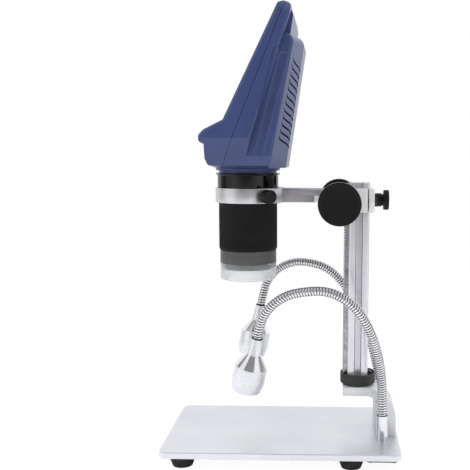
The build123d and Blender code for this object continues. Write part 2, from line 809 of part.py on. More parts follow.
with BuildPart() as lower_ring:
    with BuildSketch(Plane.XY.offset(lower_ring_bottom)):
        with Locations(scope_centre):
            Circle(lower_ring_radius)
    extrude(amount=lower_ring_height)
    with BuildSketch(Plane.XY.offset(spigot_bottom)):
        with Locations(scope_centre):
            Circle(spigot_radius)
    extrude(amount=hood_overlap)
    with BuildSketch(Plane.XY.offset(barrel_bottom)):
        with Locations(scope_centre):
            Circle(barrel_radius)
    extrude(amount=lower_ring_height, mode=Mode.SUBTRACT)
    with BuildSketch(Plane.XY.offset(spigot_bottom)):
        with Locations(scope_centre):
            Circle(barrel_radius - barrel_wall)
    extrude(amount=hood_overlap + lower_ring_height, mode=Mode.SUBTRACT)
pieces["lower_ring"] = lower_ring

light_board_z = lower_ring_bottom + 0.4
led_ring_radius = barrel_radius - barrel_wall - led_edge_gap
with BuildPart() as light_ring:
    with BuildSketch(Plane.XY.offset(light_board_z)):
        with Locations(scope_centre):
            Circle(barrel_radius - barrel_wall)
            Circle(nose_radius + 2.6, mode=Mode.SUBTRACT)
    extrude(amount=1.6)
    with BuildSketch(Plane.XY.offset(light_board_z - 1.5)):
        with Locations(scope_centre):
            with PolarLocations(led_ring_radius, 8):
                Rectangle(3.4, 3.0)
    extrude(amount=1.5)
pieces["light_ring"] = light_ring

cell_top = lower_ring_bottom + 44.0
nose_bottom = lower_ring_bottom - 3.5
cell_radius = barrel_radius - barrel_wall - running_gap
with BuildPart() as lens_cell:
    with BuildSketch(Plane.XY.offset(cell_top - 26.0)):
        with Locations(scope_centre):
            Circle(cell_radius)
    extrude(amount=26.0)
    with BuildSketch(Plane.XY.offset(nose_bottom)):
        with Locations(scope_centre):
            Circle(nose_radius)
    extrude(amount=cell_top - 26.0 - nose_bottom)
    with BuildSketch(Plane.XY.offset(nose_bottom)):
        with Locations(scope_centre):
            Circle(nose_radius - 2.0)
    extrude(amount=cell_top - nose_bottom, mode=Mode.SUBTRACT)
    with BuildSketch(Plane.XY.offset(cell_top - 22.0)):
        with Locations(scope_centre):
            Circle(cell_radius - 3.0)
    extrude(amount=22.0, mode=Mode.SUBTRACT)
pieces["lens_cell"] = lens_cell

with BuildPart() as objective_lens:
    with BuildSketch(Plane.XY.offset(nose_bottom + 1.0)):
        with Locations(scope_centre):
            Circle(nose_radius - 2.0)
    extrude(amount=3.0)
pieces["objective_lens"] = objective_lens

with BuildPart() as lens_hood:
    hood_bottom = lower_ring_bottom - 0.1 - hood_height
    with BuildSketch(Plane.XY.offset(hood_bottom)):
        with Locations(scope_centre):
            Circle(hood_radius)
    extrude(amount=hood_height)
    fillet(lens_hood.faces().sort_by(Axis.Z)[0].edges(), 3.0)
    with BuildSketch(Plane.XY.offset(hood_bottom + 2.0)):
        with Locations(scope_centre):
            Circle(hood_radius - hood_wall)
    extrude(amount=hood_height, mode=Mode.SUBTRACT)
    with BuildSketch(Plane.XY.offset(hood_bottom)):
        with Locations(scope_centre):
            Circle(hood_radius - 5.0)
    extrude(amount=2.0, mode=Mode.SUBTRACT)
pieces["lens_hood"] = lens_hood

head_base_ring = disc_stack(
    [
        (neck_radius, column_top, column_top + neck_height),
        (disc_radius, column_top + neck_height, head_bottom),
        (neck_radius - 2.0, head_bottom, head_bottom + head_wall),
    ],
    barrel_radius - 2.5,
)
pieces["head_base_ring"] = head_base_ring

sensor_z = head_bottom + head_wall + 3.0
with BuildPart() as sensor_board:
    with BuildSketch(Plane.XY.offset(sensor_z)):
        with Locations(scope_centre):
            Rectangle(38, 38)
    extrude(amount=1.6)
    with BuildSketch(Plane.XY.offset(sensor_z - 1.4)):
        with Locations(scope_centre):
            Rectangle(12, 12)
    extrude(amount=1.4)
    with BuildSketch(Plane.XY.offset(head_bottom + head_wall)):
        with Locations(scope_centre):
            with PolarLocations(21.0, 4, start_angle=45):
                Circle(1.8)
    extrude(amount=3.0)
pieces["sensor_board"] = sensor_board

# ---------------------------------------------------------------- display head
front_rise = head_front_top[1] - head_front_foot[1]
front_run = head_front_top[0] - head_front_foot[0]
front_length = sqrt(front_rise**2 + front_run**2)
front_lean = degrees(atan2(front_run, front_rise))
front_middle = (
    (head_front_top[0] + head_front_foot[0]) / 2,
    (head_front_top[1] + head_front_foot[1]) / 2,
)
front_plane = Plane(
    origin=(0, front_middle[0], front_middle[1]),
    x_dir=(1, 0, 0),
    z_dir=(0, -cos(radians(front_lean)), sin(radians(front_lean))),
)


housing_top = 54.8          # of the screen housing, up the slanted front from its middle


def ridge_y(z):
    """Y of the rear edge of the side wall's ridge at height z."""
    return 10.6 + 0.196 * (z - 348.4)


def spine_y(z):
    """Y of the spine at height z."""
    return 17.9 + 0.150 * (z - 347.2)


def slab_rear_y(z):
    """Y of the rear edge of the side wall at height z."""
    return 9.7 + 0.318 * (z - 372.0)


def spine_form(inset):
    """The spine body: wide at the ridges, narrow at the back, rounded at the top."""
    half_ridge = ridge_half_width - inset
    half_spine = spine_half_width - inset
    with BuildPart() as spine_body:
        for z in (head_bottom + inset, spine_top - inset):
            with BuildSketch(Plane.XY.offset(z)):
                with BuildLine():
                    front = slab_rear_y(z) - 12
                    ridge = ridge_y(z) - inset
                    spine = spine_y(z) - inset
                    Polyline(
                        (-half_ridge, front),
                        (-half_ridge, ridge),
                        (-half_spine, spine),
                        (half_spine, spine),
                        (half_ridge, ridge),
                        (half_ridge, front),
                        close=True,
                    )
                make_face()
        loft(ruled=True)
        behind = [edge for edge in spine_body.edges() if edge.center().Y > slab_rear_y(edge.center().Z) + 3]
        top_edges = [edge for edge in behind if edge.bounding_box().size.Z < 1]
        back_edges = [edge for edge in behind if edge.bounding_box().size.Z > 50 and abs(edge.center().X) < 40]
        top_edges = [edge for edge in top_edges if edge.center().Z > spine_top - 5]
        fillet(top_edges + back_edges, spine_edge_radius - inset)
        ridge_edges = [
            edge
            for edge in spine_body.edges()
            if edge.bounding_box().size.Z > 50
            and abs(edge.center().X) > 45
            and edge.center().Y > slab_rear_y(edge.center().Z) + 3
        ]
        fillet(ridge_edges, ridge_edge_radius - inset)
    return spine_body.part


def head_form(inset):
    """The head's outer form, with every face moved in by inset."""
    spine_body = spine_form(inset)
    with BuildPart() as form:
        with BuildSketch(Plane.YZ):
            with BuildLine():
                FilletPolyline(
                    *head_outline,
                    close=True,
                    radius=head_outline_radii,
                )
            make_face()
            if inset:
                offset(amount=-inset)
        extrude(amount=head_half_width - inset, both=True)
        if not inset:
            fillet(form.faces().filter_by(Axis.X).edges(), side_edge_radius)
        # round upper corners, square to the slanted front
        corner_x = head_half_width - top_corner_radius
        corner_top = housing_top - inset
        corner_low = housing_top - top_corner_radius
        corner_reach = top_corner_radius - inset
        for side in (-1, 1):
            with BuildSketch(front_plane.offset(-60)):
                with BuildLine():
                    Polyline(
                        (side * corner_x, corner_top),
                        (side * corner_x, corner_top + 20),
                        (side * (corner_x + 30), corner_top + 20),
                        (side * (corner_x + 30), corner_low),
                        (side * (corner_x + corner_reach), corner_low),
                    )
                    ThreePointArc(
                        (side * (corner_x + corner_reach), corner_low),
                        (
                            side * (corner_x + corner_reach * cos(pi / 4)),
                            corner_low + corner_reach * sin(pi / 4),
                        ),
                        (side * corner_x, corner_top),
                    )
                make_face()
            extrude(amount=120, mode=Mode.SUBTRACT)
        # belly of the screen housing's back
        with BuildSketch(Plane.YZ):
            with BuildLine():
                FilletPolyline(
                    (0, 371.5 - inset),
                    (7.8 - inset, 371.5 - inset),
                    (9.9 - inset, 366.5 - inset / 2),
                    (7.0 - inset, 347.0),
                    (0, 335.0),
                    radius=[2.0, 5.0, 1.0],
                )
                Line((0, 335.0), (0, 371.5 - inset))
            make_face()
        extrude(amount=belly_half_width - inset, both=True)
        add(spine_body)
    return form.part


head_outline = [
    head_front_foot,
    head_front_top,
    (3.0, 376.2),
    (9.2, 374.0),
    (slab_rear_y(366.0), 366.0),
    (slab_rear_y(head_bottom), head_bottom),
    (-52.0, head_bottom),
    (-57.7, 250.0),
    (port_wall_y, port_plate_bottom - 0.6),
    (port_wall_y, port_plate_top + 0.6),
    (-64.0, 268.0),
    (-64.0, 273.2),
    (-59.9, 277.6),
]
head_outline_radii = [2.0, 3.5, 4.0, 3.8, 4.5, 1.5, 4.0, 3.2, 1.5, 1.2, 3.4, 3.8, 5.5]
outer_form = head_form(0)
inner_form = head_form(head_wall)


def head_grooves(radius):
    """The rounded grooves between the side walls and the ridges, left and right."""
    low_z = 262.0
    high_z = 334.0
    low_y = (slab_rear_y(low_z) + ridge_y(low_z)) / 2
    high_y = (slab_rear_y(high_z) + ridge_y(high_z)) / 2
    length = sqrt((high_z - low_z) ** 2 + (high_y - low_y) ** 2)
    with BuildPart() as grooves:
        for side in (-1, 1):
            with Locations(Plane(
                origin=(side * groove_centre_x, low_y, low_z),
                x_dir=(1, 0, 0),
                z_dir=(0, high_y - low_y, high_z - low_z),
            )):
                Cylinder(radius, length, align=(Align.CENTER, Align.CENTER, Align.MIN))
                Sphere(radius)
            with Locations((side * groove_centre_x, high_y, high_z)):
                Sphere(radius)
    return grooves.part


def lower_flanks(inset):
    """Wedges that narrow the lower part of the head towards its bottom."""
    with BuildPart() as wedges:
        for side in (-1, 1):
            with BuildSketch(Plane.XZ.offset(-40)):
                with BuildLine():
                    low = head_half_width - 10.0 - inset
                    high = head_half_width - inset
                    Polyline(
                        (side * low, head_bottom - 2),
                        (side * (high + 0.01), 271.0),
                        (side * (high + 8), 271.0),
                        (side * (high + 8), head_bottom - 2),
                        close=True,
                    )
                make_face()
            extrude(amount=130)
            with BuildSketch(Plane.XZ.offset(-hem_rear_y)):
                with BuildLine():
                    Polyline(
                        (side * (low - hem_run + 0.6), head_bottom - 2),
                        (side * (low - hem_run + 0.6), head_bottom + inset),
                        (side * (low + 0.6), head_bottom + hem_rise + inset),
                        (side * (low + 6), head_bottom + hem_rise + inset),
                        (side * (low + 6), head_bottom - 2),
                        close=True,
                    )
                make_face()
            extrude(amount=80)
    return wedges.part


seam_plane = Plane(
    origin=(0, seam_point[0], seam_point[1]),
    x_dir=(1, 0, 0),
    z_dir=(0, 1, -seam_slope),
)

def case_posts():
    """Round posts along Y that take the case screws."""
    with BuildPart() as posts:
        for x, z in case_screw_places:
            with BuildSketch(Plane.XZ.offset(70)):
                with Locations((x, z)):
                    Circle(post_radius)
            extrude(amount=-100)
    return posts.part


post_radius = 3.4
screw_seat_depth = 5.0
post_screw_length = 13.0

with BuildPart() as head_shell:
    add(outer_form)
    add(lower_flanks(0), mode=Mode.SUBTRACT)
    add(head_grooves(groove_radius), mode=Mode.SUBTRACT)

with BuildPart() as head_cavity:
    add(inner_form)
    add(lower_flanks(head_wall), mode=Mode.SUBTRACT)
    add(head_grooves(groove_radius + head_wall), mode=Mode.SUBTRACT)
    add(case_posts(), mode=Mode.SUBTRACT)

with BuildPart() as groove_core:
    add(head_form(seam_groove_depth))
    add(lower_flanks(seam_groove_depth), mode=Mode.SUBTRACT)

with BuildPart() as seam_groove:
    with BuildSketch(seam_plane.offset(-seam_groove_width / 2)):
        Rectangle(200, 300)
    extrude(amount=seam_groove_width)
    add(groove_core.part, mode=Mode.SUBTRACT)

with BuildPart() as head_case:
    add(head_shell.part)
    add(seam_groove.part, mode=Mode.SUBTRACT)
    add(head_cavity.part, mode=Mode.SUBTRACT)
    with BuildSketch(Plane.XY.offset(head_bottom)):
        with Locations(scope_centre):
            Circle(neck_radius - 2.0)
    extrude(amount=head_wall, mode=Mode.SUBTRACT)


def seam_y(z):
    """Y of the seam between the covers at height z."""
    return seam_point[0] + seam_slope * (z - seam_point[1])


key_places = [(key_pitch * (i - (key_count - 1) / 2), key_row) for i in range(key_count)]
board_face = 7.0                    # depths below the head's slanted front
board_back = board_face + 1.6
board_post_places = [(x, y) for x in (-41.0, 41.0) for y in (-25.5, -42.0)]
board_screw_length = 5.0
lcd_top = lcd_centre + lcd_height / 2

with BuildPart() as head_front_cover:
    add(head_case.part)
    split(bisect_by=seam_plane, keep=Keep.BOTTOM)
    with BuildSketch(front_plane.offset(-head_wall)):
        with Locations(*board_post_places):
            Circle(2.6)
    extrude(amount=-(board_face - head_wall))
    with BuildSketch(front_plane.offset(-board_face)):
        with Locations(*board_post_places):
            Circle(1.25)
    extrude(amount=board_screw_length - 1.6 + 0.2, mode=Mode.SUBTRACT)
    with BuildSketch(front_plane):
        with Locations((0, lcd_centre)):
            RectangleRounded(window_width + 0.2, window_height + 0.2, 2)
    extrude(amount=-window_thickness, mode=Mode.SUBTRACT)
    with BuildSketch(front_plane):
        with Locations((0, lcd_centre)):
            Rectangle(lcd_width - 8, lcd_height - 10)
        with Locations(*key_places):
            Circle(key_radius + loose_gap)
    extrude(amount=-head_wall, mode=Mode.SUBTRACT)
    port_middle_z = (port_plate_bottom + port_plate_top) / 2
    with BuildSketch(Plane.XZ.offset(-port_wall_y)):
        with Locations((0, port_middle_z)):
            Rectangle(port_plate_width - 3, port_plate_top - port_plate_bottom - 2)
    extrude(amount=-3.2, mode=Mode.SUBTRACT)
    for x, z in case_screw_places:
        with BuildSketch(Plane.XZ.offset(-seam_y(z) - 2)):
            with Locations((x, z)):
                Circle(case_screw_thread / 2)
        extrude(amount=post_screw_length - screw_seat_depth + 2.5, mode=Mode.SUBTRACT)
pieces["head_front_cover"] = head_front_cover

screw_well_radius = case_screw_head / 2 + slide_gap
# (x, drop) along one vent, from its outer end to its inner end
vent_line = [(44.6, 0.0), (42.6, 2.5), (35.5, 4.4), (27.5, 6.2), (21.5, 9.4)]
with BuildPart() as head_rear_cover:
    add(head_case.part)
    split(bisect_by=seam_plane, keep=Keep.TOP)
    for x, z in case_screw_places:
        seat_y = seam_y(z) + screw_seat_depth
        with BuildSketch(Plane.XZ.offset(-seat_y)):
            with Locations((x, z)):
                Circle(case_screw_thread / 2 + running_gap)
        extrude(amount=8, mode=Mode.SUBTRACT)
        with BuildSketch(Plane.XZ.offset(-seat_y)):
            with Locations((x, z)):
                Circle(screw_well_radius)
        extrude(amount=-60, mode=Mode.SUBTRACT)
    with BuildSketch(Plane.XZ.offset(-26)):
        for i in range(vent_count):
            for side in (-1, 1):
                with BuildLine() as slot_line:
                    Polyline(*[(side * x, vent_top - vent_pitch * i - drop) for x, drop in vent_line])
                trace(slot_line.line, line_width=vent_width)
    extrude(amount=33, mode=Mode.SUBTRACT)
pieces["head_rear_cover"] = head_rear_cover


def flank_y(x, z):
    """Y of the rear cover's slanted flank at a place beside the spine."""
    share = (ridge_half_width - abs(x)) / (ridge_half_width - spine_half_width)
    return ridge_y(z) + share * (spine_y(z) - ridge_y(z))


with BuildPart() as screw_plugs:
    for x, z in case_screw_places:
        with BuildSketch(Plane.XZ.offset(plug_depth - flank_y(x, z))):
            with Locations((x, z)):
                Circle(screw_well_radius - running_gap)
        extrude(amount=-60)
    add(head_shell.part, mode=Mode.INTERSECT)
pieces["screw_plugs"] = screw_plugs

back_plane = Plane(origin=front_plane.origin, x_dir=(1, 0, 0), z_dir=-front_plane.z_dir)
with BuildPart() as case_screws:
    for x, z in case_screw_places:
        with Locations(Location((x, seam_y(z) + screw_seat_depth, z), (-90, 0, 0))):
            add(cap_screw(case_screw_thread, post_screw_length, case_screw_head, 2.0))
    with Locations(back_plane.offset(board_back)):
        with Locations(*[(x, -y) for x, y in board_post_places]):
            add(cap_screw(2.5, board_screw_length, 4.4, 1.4))
pieces["case_screws"] = case_screws

with BuildPart() as lcd_module:
    with BuildSketch(front_plane.offset(-head_wall)):
        with Locations((0, lcd_centre)):
            Rectangle(lcd_width, lcd_height)
    extrude(amount=-lcd_thickness)
pieces["lcd_module"] = lcd_module

with BuildPart() as display_window:
    with BuildSketch(front_plane.offset(-window_thickness)):
        with Locations((0, lcd_centre)):
            RectangleRounded(window_width, window_height, 2)
    extrude(amount=window_thickness)
pieces["display_window"] = display_window

switch_height = board_face - head_wall - key_flange - key_travel - 0.5
with BuildPart() as main_board:
    with BuildSketch(front_plane.offset(-board_face)):
        with Locations((0, -15.0)):
            Rectangle(88, 58)
    extrude(amount=-(board_back - board_face))
    with BuildSketch(front_plane.offset(-board_back)):
        with Locations((-16, -4), (18, -8)):
            Rectangle(14, 14)
        with Locations((0, 6), (34, 2), (-34, 2)):
            Rectangle(6, 9)
    extrude(amount=-1.6)
    with BuildSketch(front_plane.offset(-board_face)):
        with Locations(*key_places):
            Rectangle(6, 6)
    extrude(amount=switch_height)
    with BuildSketch(front_plane.offset(-board_back)):
        with Locations(*board_post_places):
            Circle(1.3)
    extrude(amount=board_back - board_face, mode=Mode.SUBTRACT)
pieces["main_board"] = main_board

port_face_y = port_wall_y - port_plate_thickness
socket_top = port_middle_z + 2.6
with BuildPart() as port_plate:
    with BuildSketch(Plane.XZ.offset(-port_wall_y)):
        with Locations((0, port_middle_z)):
            RectangleRounded(port_plate_width, port_plate_top - port_plate_bottom, 1.5)
    extrude(amount=port_plate_thickness)
    with BuildSketch(Plane.XZ.offset(-port_wall_y)):
        with Locations((-22, port_middle_z)):
            Rectangle(9.2, 4.4)
        with Locations((-2, port_middle_z)):
            Rectangle(15.0, 2.6)
        with Locations((15, port_middle_z)):
            Circle(2.2)
        with Locations((power_key_x, power_key_z)):
            RectangleRounded(power_key_width + 0.6, power_key_height + 0.6, 1.5)
    extrude(amount=port_plate_thickness, mode=Mode.SUBTRACT)
pieces["port_plate"] = port_plate

with BuildPart() as port_sockets:
    with BuildSketch(Plane.XZ.offset(-port_wall_y)):
        with Locations((-22, port_middle_z)):
            Rectangle(9.2, 5.2)
            Rectangle(7.8, 3.0, mode=Mode.SUBTRACT)
        with Locations((-2, port_middle_z)):
            Rectangle(17.0, 5.2)
            Rectangle(13.4, 1.4, mode=Mode.SUBTRACT)
        with Locations((15, port_middle_z)):
            Rectangle(7.0, 5.2)
            Circle(1.8, mode=Mode.SUBTRACT)
    extrude(amount=-8.0)
    with BuildSketch(Plane.XZ.offset(-port_wall_y - 8.0)):
        with Locations((0, port_middle_z)):
            Rectangle(60, 5.2)
    extrude(amount=-1.2)
    with BuildSketch(Plane.XZ.offset(-port_wall_y - 5.0)):
        with Locations((power_key_x, port_middle_z)):
            Rectangle(6.0, 5.2)
    extrude(amount=-3.0)
pieces["port_sockets"] = port_sockets

for number, (x, y) in enumerate(key_places, start=1):
    with BuildPart() as key:
        with BuildSketch(front_plane.offset(-head_wall - running_gap)):
            with Locations((x, y)):
                Circle(key_radius)
        extrude(amount=head_wall + running_gap + key_stand_out)
        fillet(key.edges().filter_by(GeomType.CIRCLE).sort_by(Axis.Y)[0], 0.6)
        with BuildSketch(front_plane.offset(-head_wall - running_gap)):
            with Locations((x, y)):
                Circle(key_radius + 1.2)
        extrude(amount=-key_flange)
    pieces[f"key_{number}"] = key

with BuildPart() as power_switch:
    with BuildSketch(Plane.XZ.offset(-port_face_y + power_key_stand_out)):
        with Locations((power_key_x, power_key_z)):
            RectangleRounded(power_key_width, power_key_height, 1.2)
    extrude(amount=-(power_key_stand_out + port_plate_thickness + 5.0 - power_key_travel - 0.4))
pieces["power_switch"] = power_switch

# ---------------------------------------------------------------- gooseneck lamps
dish_radius = hose_radius + dish_gap
dish_rim = 2.0
lamp_lead = 13.5             # straight end of the hose above the lamp
lamp_ferrule_length = 14.0
lamp_cone_length = 11.0
lamp_body_length = 13.0
lamp_wall = 1.6

with BuildPart() as hose_ferrules:
    for x, y in ferrule_places:
        with Locations((x, y, plate_top)):
            Cone(
                ferrule_foot_radius,
                ferrule_top_radius,
                ferrule_height,
                align=(Align.CENTER, Align.CENTER, Align.MIN),
            )
        with BuildSketch(Plane.XY.offset(plate_top)):
            with Locations((x, y)):
                Circle(ferrule_stem_radius)
        extrude(amount=-(plate_thickness - pocket_depth + 2.0))
        with BuildSketch(Plane.XY.offset(plate_top - plate_thickness)):
            with Locations((x, y)):
                Circle(1.2)
        extrude(amount=plate_thickness + ferrule_height, mode=Mode.SUBTRACT)
pieces["hose_ferrules"] = hose_ferrules

nut_top = foot_height + pocket_depth
with BuildPart() as ferrule_nuts:
    with BuildSketch(Plane.XY.offset(nut_top)):
        with Locations(*ferrule_places):
            RegularPolygon(5.0, 6)
            Circle(ferrule_stem_radius, mode=Mode.SUBTRACT)
    extrude(amount=-1.9)
pieces["ferrule_nuts"] = ferrule_nuts


def hose_line(points):
    """Straight runs joined by tangent arcs that are as large as the runs allow."""
    radii = []
    for before, corner, after in zip(points, points[1:], points[2:]):
        run = min((corner - before).length, (after - corner).length)
        turn = radians((corner - before).get_angle(after - corner))
        radii.append(0.45 * run / tan(turn / 2))
    return FilletPolyline(*points, radius=radii)


def lamp_arm(side, name, lower_points, elbow, upper_points, lamp_top, lamp_foot):
    """One gooseneck lamp: two hose lengths that meet at the elbow, and the lamp.

    Points are (x, y, z) with x positive, from the ferrule to the lamp.  The upper length has a ball
    at each end, which turns in a dish of the lower length and in one of the lamp.
    """
    lower = [Vector(side * x, y, z) for x, y, z in lower_points]
    joint = Vector(side * elbow[0], elbow[1], elbow[2])
    upper = [Vector(side * x, y, z) for x, y, z in upper_points]
    top = Vector(side * lamp_top[0], lamp_top[1], lamp_top[2])
    foot = Vector(side * lamp_foot[0], lamp_foot[1], lamp_foot[2])
    lamp_direction = (foot - top).normalized()
    upper_end = top - lamp_direction * lamp_lead
    lower_end = joint - (joint - lower[-1]).normalized() * dish_rim

    with BuildPart() as hose_lower:
        with BuildLine() as lower_line:
            hose_line(lower + [lower_end])
        with BuildSketch(Plane(origin=lower[0], x_dir=(1, 0, 0), z_dir=(0, 0, 1))):
            Circle(hose_radius)
        sweep(path=lower_line.wires()[0])
        with Locations(joint):
            Sphere(dish_radius, mode=Mode.SUBTRACT)
    pieces[f"{name}_hose_lower"] = hose_lower

    with BuildPart() as hose_upper:
        with BuildLine() as upper_line:
            hose_line([joint] + upper + [upper_end, top])
        with BuildSketch(Plane(origin=joint, x_dir=(1, 0, 0), z_dir=upper[0] - joint)):
            Circle(hose_radius)
        sweep(path=upper_line.wires()[0])
        with Locations(joint, top):
            Sphere(hose_radius)
    pieces[f"{name}_hose_upper"] = hose_upper

    lamp_plane = Plane(origin=top, x_dir=(1, 0, 0), z_dir=-lamp_direction)
    cone_top = -lamp_ferrule_length - dish_rim
    body_top = cone_top - lamp_cone_length
    rim_top = body_top - lamp_body_length
    rim = -lamp_length
    with BuildPart() as lamp_shell:
        with BuildSketch(Plane(origin=top, x_dir=lamp_plane.x_dir, z_dir=lamp_plane.y_dir)):
            with BuildLine():
                Polyline(
                    (1.2, dish_rim),
                    (ferrule_top_radius, dish_rim),
                    (6.0, -cone_top),
                    (lamp_radius - 0.8, -body_top - 0.8),
                    (lamp_radius, -body_top),
                    (lamp_radius, -rim_top),
                    (lamp_radius - 1.8, -rim),
                    (lamp_radius - 1.8 - lamp_wall, -rim),
                    (lamp_radius - lamp_wall, -rim_top),
                    (lamp_radius - lamp_wall, -body_top + 1.5),
                    (6.0 - lamp_wall, -cone_top + 4.0),
                    (1.2, -cone_top + 2.0),
                    close=True,
                )
            make_face()
        revolve(axis=Axis(top, -lamp_plane.z_dir))
        with Locations(top):
            Sphere(dish_radius, mode=Mode.SUBTRACT)
    pieces[f"{name}_shell"] = lamp_shell

    with BuildPart() as lamp_optic:
        with BuildSketch(lamp_plane.offset(rim_top)):
            Circle(lamp_radius - lamp_wall)
        extrude(amount=2.0)
        with BuildSketch(lamp_plane.offset(rim_top)):
            with PolarLocations(lamp_radius * 0.45, 3):
                Circle(3.4)
        extrude(amount=-3.0)
    pieces[f"{name}_optic"] = lamp_optic


hose_start_z = plate_top + ferrule_height + 0.1
lamp_arm(
    1,
    "right_lamp",
    [
        (ferrule_x, ferrule_y, hose_start_z),
        (24.5, 85.6, 52.0),
        (29.0, 84.4, 72.5),
        (37.0, 80.6, 93.0),
        (45.0, 74.4, 113.5),
        (50.0, 64.8, 131.3),
        (51.4, 54.5, 141.3),
        (51.6, 43.5, 147.3),
        (51.6, 32.5, 149.7),
    ],
    (51.4, 17.6, 148.4),
    [(51.3, 6.9, 145.9), (50.8, -2.7, 140.6), (49.5, -10.6, 132.8)],
    (46.0, -18.8, 110.5),
    (40.5, -29.0, 63.5),
)
lamp_arm(
    -1,
    "left_lamp",
    [
        (ferrule_x, ferrule_y, hose_start_z),
        (24.5, 85.6, 48.0),
        (27.0, 83.4, 65.5),
        (33.0, 78.6, 84.0),
        (41.0, 71.8, 103.0),
        (47.5, 62.8, 121.5),
        (50.8, 53.0, 137.6),
        (51.5, 41.5, 149.6),
        (51.5, 30.0, 155.6),
    ],
    (51.4, 16.0, 158.2),
    [(51.3, 7.6, 158.2), (51.0, -2.0, 155.4), (50.6, -10.5, 150.1), (49.6, -17.2, 142.7)],
    (46.0, -24.2, 119.5),
    (40.5, -33.5, 69.5),
)

for name, piece in pieces.items():
    piece.part.label = name
    export_step(piece.part, f"parts/{name}.step")
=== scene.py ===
"""Shapes and finishes of the digital microscope, its stand and its two gooseneck lamps.

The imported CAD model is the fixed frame.  Each operator below makes one piece or one group of like
pieces around it, or gives the CAD solids that stay as they are their finish.  Metres, +Z up, the
user sits on the -Y side.
"""
import json
import math

import bmesh
import bpy
from mathutils import Matrix, Vector


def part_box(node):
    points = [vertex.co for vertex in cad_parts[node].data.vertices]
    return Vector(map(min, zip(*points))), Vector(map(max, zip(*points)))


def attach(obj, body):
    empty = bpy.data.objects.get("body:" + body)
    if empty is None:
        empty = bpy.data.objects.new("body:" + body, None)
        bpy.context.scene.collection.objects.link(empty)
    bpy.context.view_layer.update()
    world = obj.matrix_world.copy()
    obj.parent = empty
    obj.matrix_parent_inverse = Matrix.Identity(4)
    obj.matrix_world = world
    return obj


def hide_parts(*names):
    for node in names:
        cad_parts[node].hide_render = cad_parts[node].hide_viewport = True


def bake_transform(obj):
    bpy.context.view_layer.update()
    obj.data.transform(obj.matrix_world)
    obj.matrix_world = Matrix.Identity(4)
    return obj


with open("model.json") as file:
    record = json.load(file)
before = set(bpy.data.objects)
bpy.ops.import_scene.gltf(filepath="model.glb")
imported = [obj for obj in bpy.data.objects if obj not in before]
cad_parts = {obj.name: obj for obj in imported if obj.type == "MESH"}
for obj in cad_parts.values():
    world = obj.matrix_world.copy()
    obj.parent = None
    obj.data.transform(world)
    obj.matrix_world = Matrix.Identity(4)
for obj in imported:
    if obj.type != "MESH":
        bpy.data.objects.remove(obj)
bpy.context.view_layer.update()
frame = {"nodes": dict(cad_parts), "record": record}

bl_info = {
    "name": "Digital microscope",
    "version": (1, 0, 0),
    "blender": (4, 5, 0),
    "location": "View3D > Sidebar > Microscope",
    "description": "Builds the looks of a digital microscope on a stand with two gooseneck lamps",
    "category": "Add Mesh",
}

MM = 0.001
BARREL_RADIUS = 21.5 * MM
SLEEVE_RADIUS = 25.0 * MM
HOSE_RADIUS = 4.0 * MM
# Sides that a turned piece needs for each of its grooves, so that every groove comes out alike.
SIDES_PER_RIB = 5
SIDES_PER_GROOVE = 4
BODY_OF = {
    node: body
    for body, nodes in frame["record"]["behaviour"]["bodies"].items()
    for node in nodes
}
SCOPE_AXIS = (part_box("lens_tube")[0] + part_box("lens_tube")[1]) / 2


# ------------------------------------------------------------------ finishes
def linear(hex_colour):
    """An sRGB hex colour as linear red, green, blue and full alpha."""
    channels = [int(hex_colour[i:i + 2], 16) / 255 for i in (1, 3, 5)]
    straight = [c / 12.92 if c <= 0.04045 else ((c + 0.055) / 1.055) ** 2.4 for c in channels]
    return (*straight, 1.0)


def add_node(tree, kind, inputs=(), **settings):
    """Adds a node, sets its properties, and fills or links its inputs by name or number."""
    node = tree.nodes.new(kind)
    for key, value in settings.items():
        setattr(node, key, value)
    for key, value in dict(inputs).items():
        if isinstance(value, bpy.types.NodeSocket):
            tree.links.new(value, node.inputs[key])
        else:
            node.inputs[key].default_value = value
    return node


